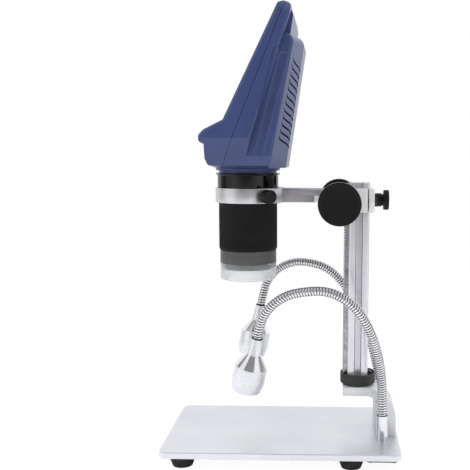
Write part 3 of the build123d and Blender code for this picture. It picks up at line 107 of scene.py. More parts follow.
def surface(
    name, light, dark, roughness, spread, grain, relief, stretch=(1, 1, 1), patch=18 * MM, **sockets
):
    """A material whose colour, roughness and relief vary over the surface.

    light and dark are the two colours of its patches, and patch is their size.  grain is the size
    of its fine pattern and relief that pattern's height, in metres.  spread is how far the
    roughness goes up and down.  stretch draws the pattern out along an axis.  Other values go
    straight onto the shader's sockets.
    """
    material = bpy.data.materials.new(name)
    material.use_nodes = True
    tree = material.node_tree
    shader = tree.nodes["Principled BSDF"]
    for key, value in sockets.items():
        shader.inputs[key.replace("_", " ")].default_value = value
    place = add_node(tree, "ShaderNodeTexCoord").outputs["Object"]
    lengthened = add_node(tree, "ShaderNodeMapping", {"Vector": place, "Scale": stretch}).outputs[0]
    broad = add_node(
        tree, "ShaderNodeTexNoise", {"Vector": place, "Scale": 1 / patch, "Detail": 3.0},
    )
    fine = add_node(
        tree,
        "ShaderNodeTexNoise",
        {"Vector": lengthened, "Scale": 1 / grain, "Detail": 4.0, "Roughness": 0.6},
    )
    both = add_node(
        tree, "ShaderNodeMath",
        {0: broad.outputs["Fac"], 1: fine.outputs["Fac"]}, operation="MULTIPLY",
    )
    mask = add_node(
        tree, "ShaderNodeMapRange", {"Value": both.outputs[0], "From Min": 0.12, "From Max": 0.40},
    )
    colour = add_node(
        tree,
        "ShaderNodeMix",
        {"Factor": mask.outputs["Result"], "A": linear(dark), "B": linear(light)},
        data_type="RGBA",
    )
    rough = add_node(
        tree,
        "ShaderNodeMapRange",
        {
            "Value": fine.outputs["Fac"],
            "From Min": 0.3,
            "From Max": 0.7,
            "To Min": max(roughness - spread, 0.02),
            "To Max": roughness + spread,
        },
    )
    bump = add_node(
        tree, "ShaderNodeBump",
        {"Height": fine.outputs["Fac"], "Strength": 1.0, "Distance": relief},
    )
    tree.links.new(colour.outputs["Result"], shader.inputs["Base Color"])
    tree.links.new(rough.outputs["Result"], shader.inputs["Roughness"])
    tree.links.new(bump.outputs["Normal"], shader.inputs["Normal"])
    return material


def make_finishes():
    """Every finish of the microscope, by the key that the operators use."""
    case = bpy.context.scene.microscope_case
    finishes = {}
    # Injection-moulded ABS from a spark-eroded mould: a soft sheen over a grain that is really
    # 0.1 mm and is drawn at 0.5 mm so that it shows.
    finishes["case"] = surface(
        "moulded_abs_navy", case.colour_light, case.colour_dark, 0.30, 0.05, 0.5 * MM, 0.006 * MM,
        patch=40 * MM, Specular_IOR_Level=0.45, IOR=1.5,
    )
    # High-gloss black ABS: near mirror, so the soft boxes draw upright streaks on it.
    finishes["gloss"] = surface(
        "polished_abs_black", "#0C0C0E", "#070708", 0.08, 0.03, 1.2 * MM, 0.001 * MM,
        Specular_IOR_Level=0.3,
    )
    # Matt black ABS, lightly handled: dull, with faint paler patches.
    finishes["matt"] = surface(
        "moulded_abs_black", "#131112", "#0B0A0B", 0.42, 0.06, 0.6 * MM, 0.008 * MM, patch=9 * MM,
        Specular_IOR_Level=0.25,
    )
    # Moulded nitrile rubber: dull black with a dusty bloom.
    finishes["rubber"] = surface(
        "moulded_nitrile_rubber", "#151515", "#0C0C0C", 0.62, 0.08, 0.7 * MM, 0.015 * MM,
        patch=12 * MM, Specular_IOR_Level=0.2,
    )
    # The feet's harder rubber: dull charcoal, rubbed paler.
    finishes["feet"] = surface(
        "moulded_foot_rubber", "#29292B", "#1C1C1E", 0.62, 0.08, 0.8 * MM, 0.02 * MM, patch=10 * MM,
        Specular_IOR_Level=0.2,
    )
    # Mid-grey ABS with a turned face: satin, with very fine rings.
    finishes["grey"] = surface(
        "turned_abs_grey", "#535353", "#464646", 0.42, 0.06, 0.6 * MM, 0.006 * MM,
        stretch=(1, 1, 14), Specular_IOR_Level=0.25,
    )
    # Sheet aluminium, belt-brushed along its length (grit lines 0.1 mm, drawn at 0.35 mm) and clear
    # anodised: pale silver with long fine lines.
    finishes["plate"] = surface(
        "brushed_aluminium_sheet", "#ECEDF1", "#DEDFE5", 0.40, 0.07, 0.35 * MM, 0.004 * MM,
        stretch=(1, 0.05, 1), patch=50 * MM, Metallic=0.85,
    )
    # Extruded aluminium, clear anodised: die lines run up the rod.
    finishes["extrusion"] = surface(
        "extruded_aluminium_anodised", "#E2E2E5", "#D2D2D7", 0.24, 0.04, 0.5 * MM, 0.004 * MM,
        stretch=(1, 1, 0.02), patch=60 * MM, Metallic=0.5,
    )
    # The same extrusion in a dull dark grey, as painted shade along the edges of the rod's slots.
    finishes["lip"] = surface(
        "extruded_aluminium_painted_slot_shade", "#6E6E72", "#4C4C50", 0.45, 0.06, 0.5 * MM, 0.004 * MM,
        stretch=(1, 1, 0.02), Metallic=0.4,
    )
    # Milled and tumbled aluminium: satin, with a fine isotropic sparkle.
    finishes["milled"] = surface(
        "milled_aluminium", "#E6E6E8", "#DADADC", 0.33, 0.06, 0.6 * MM, 0.008 * MM, Metallic=0.25,
        patch=10 * MM,
    )
    # Turned aluminium, brushed round the ring: bright, with fine level lines.
    finishes["ring"] = surface(
        "turned_aluminium_brushed", "#DEDEE0", "#C0C0C3", 0.36, 0.06, 0.4 * MM, 0.008 * MM,
        stretch=(0.3, 0.3, 8), patch=14 * MM, Metallic=0.85,
    )
    # Aluminium bar, dyed grey-violet anodising: satin and slightly darker than the milled parts.
    finishes["bar"] = surface(
        "anodised_aluminium_bar", "#B2AEB2", "#A09CA1", 0.38, 0.05, 0.5 * MM, 0.006 * MM,
        stretch=(1, 0.06, 1), patch=25 * MM, Metallic=0.5,
    )
    # Steel bracket under pale grey powder coat: low sheen with a faint orange-peel.
    finishes["bracket"] = surface(
        "powder_coated_steel", "#DCDEE1", "#D0D2D6", 0.42, 0.05, 1.1 * MM, 0.015 * MM,
        patch=25 * MM, Metallic=0.25,
    )
    # Zinc die casting under black enamel: semi-matt with a faint cast skin.
    finishes["casting"] = surface(
        "enamelled_die_casting", "#383837", "#262626", 0.40, 0.08, 1.0 * MM, 0.02 * MM,
        patch=8 * MM, Specular_IOR_Level=0.3,
    )
    # Zinc-plated steel screws: bright grey with a slight blue.
    finishes["screw"] = surface(
        "zinc_plated_steel", "#B9BBC0", "#8F9196", 0.30, 0.08, 0.5 * MM, 0.006 * MM, Metallic=1.0,
    )
    # Hobbed steel rack, lightly oiled: darker between the teeth.
    finishes["rack"] = surface(
        "cut_steel_oiled", "#C4C4C8", "#8C8C92", 0.32, 0.07, 0.5 * MM, 0.006 * MM, Metallic=1.0,
        patch=4 * MM,
    )
    # Chromium-plated spring steel strip, wound: mirror bright (pitch 1.75 mm, drawn at 2.3 mm so
    # that the turns show).
    # The dark lines between the turns are the groove and painted shade from the seam finish below.
    finishes["chrome"] = surface(
        "chrome_plated_strip", "#F0F0F2", "#DADADD", 0.11, 0.04, 0.8 * MM, 0.003 * MM, Metallic=1.0,
    )
    # Painted shade in the line between two turns of the strip: dull mid grey.
    finishes["seam"] = surface(
        "strip_seam_painted_shade", "#7E8084", "#5C5E62", 0.45, 0.06, 0.6 * MM, 0.003 * MM, Metallic=0.5,
    )
    # Turned aluminium, bead-blasted and clear anodised: pale satin with no mirror image.
    finishes["satin"] = surface(
        "blasted_aluminium_anodised", "#E6E8EA", "#D6D8DB", 0.30, 0.05, 0.6 * MM, 0.004 * MM,
        Metallic=0.55, patch=12 * MM,
    )
    # Turned and polished aluminium: mirror bright with the faintest rings.
    finishes["polished"] = surface(
        "turned_aluminium_polished", "#F3F3F5", "#E4E4E8", 0.12, 0.03, 0.6 * MM, 0.002 * MM,
        Metallic=1.0, patch=12 * MM,
    )
    # Moulded seal rubber: dull black, slightly smoother than the sleeve.
    finishes["oring"] = surface(
        "moulded_seal_rubber", "#242424", "#161616", 0.5, 0.06, 0.6 * MM, 0.008 * MM,
    )
    # Black-dyed anodised aluminium inside the lens tube: dark satin that kills stray light.
    finishes["tube"] = surface(
        "anodised_aluminium_black", "#2A2A2D", "#1B1B1D", 0.42, 0.08, 0.6 * MM, 0.01 * MM,
        Metallic=0.6,
    )
    # Turned bronze bush.
    finishes["bronze"] = surface(
        "turned_bronze", "#B98F4E", "#94703A", 0.34, 0.08, 0.5 * MM, 0.006 * MM, Metallic=1.0,
    )
    # Natural acetal slide.
    finishes["acetal"] = surface(
        "milled_acetal", "#E4E1D6", "#D6D2C4", 0.45, 0.06, 0.8 * MM, 0.01 * MM,
    )
    # Glass-fibre board under green solder resist.
    finishes["board"] = surface(
        "solder_resist_board", "#1F6B3C", "#0F4A28", 0.34, 0.08, 0.9 * MM, 0.02 * MM, patch=3 * MM,
    )
    # Board of the light ring under white solder resist: satin white.
    finishes["lights"] = surface(
        "white_light_board", "#EFEFE8", "#DEDED4", 0.40, 0.06, 0.8 * MM, 0.01 * MM, patch=5 * MM,
    )
    # Satin silver paint on moulded keys.
    finishes["key"] = surface(
        "painted_abs_silver", "#B4B6BC", "#9C9EA4", 0.32, 0.05, 0.5 * MM, 0.004 * MM, Metallic=0.6,
        patch=4 * MM,
    )
    # Display panel with its backlight off: deep blue-black under a polariser.
    finishes["panel"] = surface(
        "display_polariser", "#0E1216", "#090B0F", 0.22, 0.04, 1.2 * MM, 0.001 * MM, patch=30 * MM,
    )
    # Smoked acrylic sheet with a hard coat: clear gloss over the dark panel.
    finishes["window"] = surface(
        "hard_coated_acrylic_window", "#59626B", "#4E565F", 0.05, 0.01, 1.5 * MM, 0.0005 * MM,
        Transmission_Weight=0.9, IOR=1.49,
    )
    # Clear acrylic from a textured mould: frosted, so that it glows more than it shows.
    finishes["hood"] = surface(
        "moulded_clear_acrylic", "#FAFBFC", "#F1F3F4", 0.34, 0.05, 1.5 * MM, 0.01 * MM,
        patch=6 * MM, Transmission_Weight=0.93, IOR=1.30,
    )
    # Polished optical glass, coated: clear, with a violet tint in its reflections.
    finishes["glass"] = surface(
        "coated_optical_glass", "#DCE4F2", "#CAD6EC", 0.03, 0.01, 2.0 * MM, 0.0002 * MM,
        Transmission_Weight=0.95, IOR=1.52, Coat_Weight=0.5, Coat_Tint=linear("#7A6BD8"),
    )
    # Moulded acrylic lens of a lamp: clear gloss, slightly milky.
    finishes["lamp_lens"] = surface(
        "moulded_acrylic_lens", "#F6F8F4", "#EBEFEA", 0.10, 0.03, 1.2 * MM, 0.004 * MM,
        Transmission_Weight=0.85, IOR=1.49,
    )
    return finishes


def dress(finish, *nodes):
    """Gives CAD solids that stay as they are a finish."""
    for node in nodes:
        frame["nodes"][node].material_slots[0].material = FINISHES[finish]


# ------------------------------------------------------------------ making meshes
def stand_in(name, mesh, finish, node, sharp_angle=32, second=()):
    """A finished mesh that rides where a CAD node rides and is shown in its place."""
    thing = loose_piece(name, mesh, finish, BODY_OF[node], sharp_angle, second)
    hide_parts(node)
    return thing


def loose_piece(name, mesh, finish, body, sharp_angle=32, second=()):
    """A finished mesh that rides on a body of the frame."""
    thing = unattached_piece(name, mesh, finish, sharp_angle, second)
    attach(thing, body)
    return thing


def unattached_piece(name, mesh, finish, sharp_angle=32, second=()):
    """A finished mesh in the scene, shaded smooth up to an angle and riding on nothing yet.

    second holds the finish of the faces that are marked with material index 1.
    """
    mesh.name = name
    for finish_name in (finish, *second):
        mesh.materials.append(FINISHES[finish_name])
    mesh.shade_smooth()
    mesh.set_sharp_from_angle(angle=math.radians(sharp_angle))
    thing = bpy.data.objects.new(name, mesh)
    bpy.context.scene.collection.objects.link(thing)
    return thing


def mesh_from(work, name):
    """Turns a bmesh into a mesh with its normals outward."""
    bmesh.ops.recalc_face_normals(work, faces=work.faces)
    mesh = bpy.data.meshes.new(name)
    work.to_mesh(mesh)
    work.free()
    return mesh


def softened(node, width, segments=2, angle=35):
    """A copy of a CAD mesh, welded, with its flat areas merged and its hard edges rounded."""
    work = bmesh.new()
    work.from_mesh(frame["nodes"][node].data)
    bmesh.ops.remove_doubles(work, verts=work.verts, dist=0.001 * MM)
    flat = math.radians(0.6)
    bmesh.ops.dissolve_limit(work, angle_limit=flat, verts=work.verts, edges=work.edges)
    hard = [
        edge
        for edge in work.edges
        if len(edge.link_faces) == 2 and edge.calc_face_angle(0.0) > math.radians(angle)
    ]
    bmesh.ops.bevel(
        work,
        geom=hard,
        offset=width,
        offset_type="OFFSET",
        segments=segments,
        profile=0.5,
        affect="EDGES",
        clamp_overlap=True,
        miter_outer="ARC",
    )
    return mesh_from(work, node)


def rounded(points, radius, steps=3):
    """A closed line of (radius, height) points with each corner taken off by an arc.

    A point's third number, where it has one, is its own corner radius, and 0 keeps it sharp.
    """
    line = []
    count = len(points)
    for i, point in enumerate(points):
        here = Vector(point[:2])
        before = Vector(points[i - 1][:2])
        after = Vector(points[(i + 1) % count][:2])
        size = point[2] if len(point) > 2 else radius
        back = before - here
        ahead = after - here
        reach = min(size, 0.45 * back.length, 0.45 * ahead.length)
        if size == 0 or back.length < 1e-9 or ahead.length < 1e-9:
            line.append(here)
            continue
        first = here + back.normalized() * reach
        last = here + ahead.normalized() * reach
        for step in range(steps + 1):
            t = step / steps
            line.append(first * (1 - t) ** 2 + here * 2 * t * (1 - t) + last * t * t)
    return line


def turned(name, line, sides=128, centre=(0, 0, 0), axis=(0, 0, 1), groove=None):
    """A solid of revolution.  line is a closed loop of (radius, height) points along the axis.

    groove(radius, height, turn) gives the depth taken off the radius there, with turn from 0 to 1.
    """
    work = bmesh.new()
    rings = []
    for i in range(sides):
        angle = 2 * math.pi * i / sides
        ring = []
        for r, h in line:
            reach = r - (groove(r, h, i / sides) if groove else 0.0)
            ring.append(work.verts.new((reach * math.cos(angle), reach * math.sin(angle), h)))
        rings.append(ring)
    count = len(line)
    for i in range(sides):
        here = rings[i]
        beside = rings[(i + 1) % sides]
        for j in range(count):
            k = (j + 1) % count
            if line[j][0] < 1e-9 and line[k][0] < 1e-9:
                continue
            work.faces.new((here[j], beside[j], beside[k], here[k]))
    bmesh.ops.remove_doubles(work, verts=work.verts, dist=1e-7)
    bmesh.ops.dissolve_degenerate(work, dist=1e-8, edges=work.edges)
    turn = Vector((0, 0, 1)).rotation_difference(Vector(axis).normalized()).to_matrix().to_4x4()
    bmesh.ops.transform(work, matrix=Matrix.Translation(centre) @ turn, verts=work.verts)
    return mesh_from(work, name)


def ribs(count, depth, low, high, outer, fade=0.6 * MM, sharpness=1.0):
    """A groove function for turned(): axial grooves between two heights, on the outside only.

    The grooves fade out over a length at each end.  A sharpness above 1 narrows them.
    """

    def groove(r, h, turn):
        if r < outer - 0.05 * MM or h < low or h > high:
            return 0.0
        ends = min(1.0, (h - low) / fade, (high - h) / fade)
        wave = 0.5 - 0.5 * math.cos(2 * math.pi * count * turn)
        return depth * ends * wave ** sharpness

    return groove


# ------------------------------------------------------------------ the case
class MicroscopeCaseSettings(bpy.types.PropertyGroup):
    """The display head's housing."""

    colour_light: bpy.props.StringProperty(
        name="Case colour", description="Paler colour of the moulded case, as an sRGB hex value",
        default="#3A4775",
    )
    colour_dark: bpy.props.StringProperty(
        name="Case shade", description="Deeper colour of the moulded case, as an sRGB hex value",
        default="#303B63",
    )


class MICROSCOPE_OT_case(bpy.types.Operator):
    """Finish the display head's two covers, its ring, its ports and its inner parts"""

    bl_idname = "microscope.case"
    bl_label = "Display head"

    def execute(self, context):
        dress("case", "head_front_cover", "head_rear_cover", "screw_plugs")
        dress("screw", "case_screws", "port_sockets")
        dress("board", "main_board", "sensor_board")
        dress("matt", "port_plate", "power_switch")
        dress("panel", "lcd_module")
        dress("window", "display_window")
        dress("key", "key_1", "key_2", "key_3", "key_4", "key_5")
        low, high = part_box("head_base_ring")
        bore, spigot, foot, flange = 19.0 * MM, 22.8 * MM, 24.8 * MM, 27.5 * MM
        under, over = low.z + 2.2 * MM, low.z + 5.0 * MM
        line = rounded([
            (bore, low.z),
            (foot, low.z),
            (foot, under, 0.5 * MM),
            (flange, under, 1.1 * MM),
            (flange, over, 1.1 * MM),
            (spigot, over),
            (spigot, high.z),
            (bore, high.z),
        ], 0.3 * MM)
        ring = turned("head_base_ring_turned", line, centre=(SCOPE_AXIS.x, SCOPE_AXIS.y, 0))
        stand_in("head_ring", ring, "case", "head_base_ring")
        return {"FINISHED"}


# ------------------------------------------------------------------ the lens column
class MicroscopeColumnSettings(bpy.types.PropertyGroup):
    """The parts below the head, on the optical axis."""

    rib_count: bpy.props.IntProperty(
        name="Sleeve ribs", description="Number of upright ribs round the focusing sleeve",
        default=92, min=24, max=160,
    )
    rib_depth: bpy.props.FloatProperty(
        name="Rib depth", description="Depth of the grooves between the sleeve's ribs",
        default=0.45 * MM, unit="LENGTH", min=0.0, max=1 * MM,
    )


class MICROSCOPE_OT_column(bpy.types.Operator):
    """Make the collar, the ribbed sleeve, the grey ring, the clear hood and the lenses"""

    bl_idname = "microscope.column"
    bl_label = "Lens column"

    def execute(self, context):
        settings = context.scene.microscope_column
        centre = (SCOPE_AXIS.x, SCOPE_AXIS.y, 0)

        low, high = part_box("tube_collar")
        bore, body, band, rim = BARREL_RADIUS, SLEEVE_RADIUS, 26.05 * MM, 27.4 * MM
        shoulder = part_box("clamp_ring")[1].z + 0.1 * MM
        flange = high.z - 1.5 * MM
        line = rounded([
            (bore, low.z, 0),
            (body, low.z),
            (body, shoulder, 0),
            (band, shoulder),
            (band, flange, 0.5 * MM),
            (rim, flange + 0.2 * MM, 0.3 * MM),
            (rim, high.z, 0.5 * MM),
            (bore, high.z, 0),
        ], 0.25 * MM)
        stand_in("collar", turned("collar", line, centre=centre), "gloss", "tube_collar")

        low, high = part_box("focus_sleeve")
        inner, outer = 21.55 * MM, SLEEVE_RADIUS
        ribs_foot, ribs_head = low.z + 2.6 * MM, high.z - 2.8 * MM
        corners = [(inner, low.z, 0), (outer, low.z, 1.6 * MM), (outer, high.z, 0.5 * MM),
                   (inner, high.z, 0)]
        foot_steps, head_steps = 5, 3
        # The wall between the two rounded corners has extra points where the ribs fade in and out.
        wall = [ribs_foot, low.z + 3.2 * MM, low.z + 12 * MM, low.z + 25 * MM, high.z - 3.4 * MM,
                ribs_head]
        line = rounded(corners, 0, steps=foot_steps)[:foot_steps + 2]
        line += [Vector((outer, z)) for z in wall]
        line += rounded(corners, 0, steps=head_steps)[-head_steps - 2:]
        groove = ribs(
            settings.rib_count, settings.rib_depth, ribs_foot, ribs_head, outer, sharpness=1.6,
        )
        sleeve = turned("sleeve", line, settings.rib_count * SIDES_PER_RIB, centre, groove=groove)
        stand_in("ribbed_sleeve", sleeve, "rubber", "focus_sleeve", sharp_angle=50)

        low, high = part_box("lower_ring")
        mouth, nose, body, groove_floor = 19.5 * MM, 22.55 * MM, 24.2 * MM, 24.05 * MM
        face = high.z - 11.2 * MM
        shelf = face + 2.0 * MM
        line = rounded([
            (mouth, low.z, 0),
            (nose, low.z),
            (nose, face, 0),
            (body, face),
            (body, face + 6.1 * MM, 0),
            (groove_floor, face + 6.2 * MM, 0),
            (groove_floor, face + 6.5 * MM, 0),
            (body, face + 6.6 * MM, 0),
            (body, high.z),
            (BARREL_RADIUS, high.z, 0),
            (BARREL_RADIUS, shelf, 0),
            (mouth, shelf, 0),
        ], 0.35 * MM)
        stand_in("grey_ring", turned("grey_ring", line, centre=centre), "grey", "lower_ring")

        low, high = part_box("lens_hood")
        mouth, inner, outer = 19.1 * MM, 22.6 * MM, 24.1 * MM
        floor, edge = low.z + 2.0 * MM, 0.3 * MM
        line = rounded([
            (mouth, low.z, edge),
            (outer, low.z, 3.0 * MM),
            (outer, high.z, edge),
            (inner, high.z, edge),
            (inner, floor, 1.6 * MM),
            (mouth, floor, edge),
        ], 0, steps=6)
        stand_in("clear_hood", turned("clear_hood", line, centre=centre), "hood", "lens_hood")

        low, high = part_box("objective_lens")
        radius, rise, rings = 5.0 * MM, 0.6 * MM, 6
        curve = [(radius * i / rings, rise * (1 - (i / rings) ** 2)) for i in range(rings + 1)]
        line = [Vector((r, low.z + rise - sag)) for r, sag in curve]
        line += [Vector((r, high.z - rise + sag)) for r, sag in reversed(curve)]
        stand_in("objective", turned("objective", line, 64, centre), "glass", "objective_lens")

        dress("tube", "lens_tube", "lens_cell")
        dress("lights", "light_ring")
        return {"FINISHED"}


# ------------------------------------------------------------------ the stand
class MICROSCOPE_OT_stand(bpy.types.Operator):
    """Finish the base plate, the feet, the bracket, the rod with its rack, and the collar"""

    bl_idname = "microscope.stand"
    bl_label = "Stand"

    def execute(self, context):
        dress("plate", "base_plate")
        dress("screw", "base_screws", "bracket_screws", "ferrule_nuts")
        dress("matt", "driver_cover")
        dress("board", "driver_board")
        dress("rack", "rack")
        dress("chrome", "hose_ferrules")
        stand_in("feet", softened("rubber_feet", 0.5 * MM), "feet", "rubber_feet")
        stand_in("bracket", softened("rod_bracket", 0.5 * MM), "bracket", "rod_bracket")
        # Painted shade: the softened edges along each of the rod's slots take a dull grey finish,
        # so that the slots show as dark lines.  The rod's own four corners are softened too, but
        # stay bright.
        lip_width, corner_width = 0.45 * MM, 2.0 * MM
        rod = softened("rod", 0.4 * MM, segments=1)
        low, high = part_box("rod")
        half = (high.x - low.x) / 2
        middle = (low.y + high.y) / 2
        for face in rod.polygons:
            across = (abs(face.center.x), abs(face.center.y - middle))
            slanted = 0.2 < abs(face.normal.x) < 0.98 and abs(face.normal.z) < 0.1
            at_slot = max(across) > half - lip_width and min(across) < half - corner_width
            # Painted shade: dull grey on the slanted faces at the slots' edges.
            face.material_index = 1 if slanted and at_slot else 0
        stand_in("rod_extrusion", rod, "extrusion", "rod", second=("lip",))
        low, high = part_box("rod_collar")
        radius = (high.x - low.x) / 2
        hole, wall, chamfer = 12.6 * MM, 1.25 * MM, 1.3 * MM
        floor = low.z + 1.5 * MM
        line = rounded([
            (hole, low.z, 0),
            (radius - chamfer, low.z, 0.3 * MM),
            (radius, low.z + chamfer, 0.3 * MM),
            (radius, low.z + 2.0 * MM, 0),
            (radius, high.z - 1.2 * MM, 0),
            (radius, high.z, 0.7 * MM),
            (radius - wall, high.z, 0.3 * MM),
            (radius - wall, floor, 0),
            (hole, floor, 0),
        ], 0, steps=4)
        count = 64
        groove = ribs(count, 0.35 * MM, low.z + 1.6 * MM, high.z - 0.8 * MM, radius, 0.4 * MM)
        centre = ((low.x + high.x) / 2, (low.y + high.y) / 2, 0)
        collar = turned("rod_collar_cast", line, count * SIDES_PER_GROOVE, centre, groove=groove)
        stand_in("rod_collar_cast", collar, "casting", "rod_collar", sharp_angle=45)
        stand_in("collar_wedge_cast", softened("collar_wedge", 0.3 * MM), "casting", "collar_wedge")
        return {"FINISHED"}


# ------------------------------------------------------------------ the carriage
class MICROSCOPE_OT_carriage(bpy.types.Operator):
    """Finish the sliding carriage, the arm and the clamp ring"""

    bl_idname = "microscope.carriage"
    bl_label = "Carriage and arm"

    def execute(self, context):
        # The block's front part, ahead of the focusing knobs, is bar like the arm.
        block = softened("carriage_block", 0.4 * MM)
        bar_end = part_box("focus_knob_right")[0].y + 1.5 * MM
        for face in block.polygons:
            face.material_index = 1 if face.center.y < bar_end else 0
        stand_in("block", block, "milled", "carriage_block", second=("bar",))
        stand_in("rear_plate", softened("clamp_plate", 0.3 * MM), "milled", "clamp_plate")
        stand_in("arm", softened("ring_arm", 0.35 * MM), "bar", "ring_arm")
        stand_in("ring", softened("clamp_ring", 0.35 * MM), "ring", "clamp_ring")
        dress("acetal", "guide_pads")
        dress("bronze", "shaft_bushes")
        dress("casting", "clamp_plate_screws")
        dress("screw", "arm_screws", "focus_shaft", "focus_pinion")
        return {"FINISHED"}


# ------------------------------------------------------------------ knobs
class MicroscopeKnobSettings(bpy.types.PropertyGroup):
    """Grips of the knobs and screws."""

    groove_depth: bpy.props.FloatProperty(
        name="Grip depth", description="Depth of the axial grooves round the focusing knobs",
        default=0.3 * MM, unit="LENGTH", min=0.0, max=1 * MM,
    )
    groove_count: bpy.props.IntProperty(
        name="Grip grooves", description="Number of axial grooves round each focusing knob",
        default=80, min=20, max=160,
    )


class MICROSCOPE_OT_knobs(bpy.types.Operator):
    """Make the two focusing knobs, the lock knob and the ring's thumbscrew"""

    bl_idname = "microscope.knobs"
    bl_label = "Knobs"

    def execute(self, context):
        settings = context.scene.microscope_knobs
        for side, node in ((-1, "focus_knob_left"), (1, "focus_knob_right")):
            low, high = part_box(node)
            start = low.x if side > 0 else -high.x
            end = high.x if side > 0 else -low.x
            radius = (high.z - low.z) / 2
            bore, hub = 3.0 * MM, 7.0 * MM
            bore_end, rim, dish = end - 5.0 * MM, end - 12 * MM, end - 0.35 * MM
            grip_start, grip_end = rim + 1.4 * MM, end - 1.6 * MM
            line = rounded([
                (0, bore_end, 0),
                (bore, bore_end, 0),
                (bore, start, 0),
                (hub, start, 0.3 * MM),
                (hub, rim, 0.4 * MM),
                (radius, rim, 1.0 * MM),
                (radius, grip_start, 0),
                (radius, rim + 2.2 * MM, 0),
                (radius, rim + 6.0 * MM, 0),
                (radius, end - 2.4 * MM, 0),
                (radius, grip_end, 0),
                (radius, end, 1.1 * MM),
                (radius - 1.9 * MM, end, 0.3 * MM),
                (radius - 2.3 * MM, dish, 0.2 * MM),
                (0, dish, 0),
            ], 0, steps=4)
            centre = (0, (low.y + high.y) / 2, (low.z + high.z) / 2)
            groove = ribs(
                settings.groove_count, settings.groove_depth, grip_start, grip_end, radius,
            )
            sides = settings.groove_count * SIDES_PER_GROOVE
            knob = turned(node, line, sides, centre, (side, 0, 0), groove)
            stand_in(node + "_grip", knob, "matt", node, sharp_angle=45)

        low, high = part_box("lock_knob")
        thread, hub, waist, radius = 3.0 * MM, 5.75 * MM, 5.0 * MM, 8.5 * MM
        head = high.y - 4.6 * MM
        neck = head - 7.9 * MM
        line = rounded([
            (0, low.y, 0),
            (thread, low.y, 0.2 * MM),
            (thread, neck, 0),
            (hub, neck, 0.3 * MM),
            (hub, head - 2.0 * MM, 0.3 * MM),
            (waist, head - 1.6 * MM, 0.2 * MM),
            (waist, head, 0.2 * MM),
            (radius, head, 0.5 * MM),
            (radius, head + 1.0 * MM, 0),
            (radius, high.y - 1.2 * MM, 0),
            (radius, high.y, 0.8 * MM),
            (0, high.y, 0),
        ], 0, steps=4)
        centre = (0, 0, (low.z + high.z) / 2)
        count = 40
        groove = ribs(count, 0.3 * MM, head + 0.6 * MM, high.y - 0.9 * MM, radius, 0.3 * MM)
        sides = count * SIDES_PER_GROOVE
        knob = turned("lock_knob_grip", line, sides, centre, (0, 1, 0), groove)
        stand_in("lock_knob_grip", knob, "matt", "lock_knob", sharp_angle=45)

        # The thumbscrew points outward from the ring.  Its lengths count from the optical axis.
        turn = math.radians(34)
        axis = Vector((math.cos(turn), math.sin(turn), 0))
        low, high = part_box("clamp_ring")
        centre = (SCOPE_AXIS.x, SCOPE_AXIS.y, (low.z + high.z) / 2)
        thread, neck, radius = 2.5 * MM, 3.5 * MM, 5.7 * MM
        tip, ring_face, head, end = 25.3 * MM, 28.8 * MM, 31.3 * MM, 39.6 * MM
        line = rounded([
            (0, tip, 0),
            (thread, tip, 0.2 * MM),
            (thread, ring_face, 0),
            (neck, ring_face, 0.2 * MM),
            (neck, head, 0.3 * MM),
            (radius, head, 0.8 * MM),
            (radius, 32.4 * MM, 0),
            (radius, 38.6 * MM, 0),
            (radius, end, 1.0 * MM),
            (0, end, 0),
        ], 0, steps=4)
        count = 30
        groove = ribs(count, 0.25 * MM, 32.2 * MM, 38.9 * MM, radius)
        sides = count * SIDES_PER_GROOVE
        screw = turned("ring_thumbscrew_grip", line, sides, centre, axis, groove)
        stand_in("thumbscrew_grip", screw, "matt", "ring_thumbscrew", sharp_angle=45)
        return {"FINISHED"}


# ------------------------------------------------------------------ the gooseneck lamps
class MicroscopeLampSettings(bpy.types.PropertyGroup):
    """The goosenecks' winding."""

    pitch: bpy.props.FloatProperty(
        name="Winding pitch",
        description="Distance from one turn of the gooseneck's strip to the next",
        default=2.3 * MM, unit="LENGTH", min=0.8 * MM, max=4 * MM,
    )
    depth: bpy.props.FloatProperty(
        name="Winding depth", description="Depth of the line between two turns",
        default=0.65 * MM, unit="LENGTH", min=0.0, max=1 * MM,
    )


# Route of each gooseneck from its ferrule to its lamp, in millimetres, x outward from the middle.
HOSE_ROUTES = {
    "right": {
        "side": 1,
        "points": [
            (24.5, 85.6, 37.1), (24.5, 85.6, 52.0), (29.0, 84.4, 72.5), (37.0, 80.6, 93.0),
            (45.0, 74.4, 113.5), (50.0, 64.8, 131.3), (51.4, 54.5, 141.3), (51.6, 43.5, 147.3),
            (51.6, 32.5, 149.7), (51.4, 17.6, 148.4), (51.3, 6.9, 145.9), (50.8, -2.7, 140.6),
            (49.5, -10.6, 132.8),
        ],
        "elbow": (51.4, 17.6, 148.4),
        "lamp_top": (46.0, -18.8, 110.5),
        "lamp_foot": (40.5, -29.0, 63.5),
    },
    "left": {
        "side": -1,
        "points": [
            (24.5, 85.6, 37.1), (24.5, 85.6, 48.0), (27.0, 83.4, 65.5), (33.0, 78.6, 84.0),
            (41.0, 71.8, 103.0), (47.5, 62.8, 121.5), (50.8, 53.0, 137.6), (51.5, 41.5, 149.6),
            (51.5, 30.0, 155.6), (51.4, 16.0, 158.2), (51.3, 7.6, 158.2), (51.0, -2.0, 155.4),
            (50.6, -10.5, 150.1), (49.6, -17.2, 142.7),
        ],
        "elbow": (51.4, 16.0, 158.2),
        "lamp_top": (46.0, -24.2, 119.5),
        "lamp_foot": (40.5, -33.5, 69.5),
    },
}
# The hose runs straight for this far above a lamp, and this far into its neck.
LAMP_LEAD = 13.5 * MM
LAMP_ENTRY = 2.2 * MM
# Radius to the middle of the section of each rubber seal.
SEAL_RADIUS = 4.05 * MM
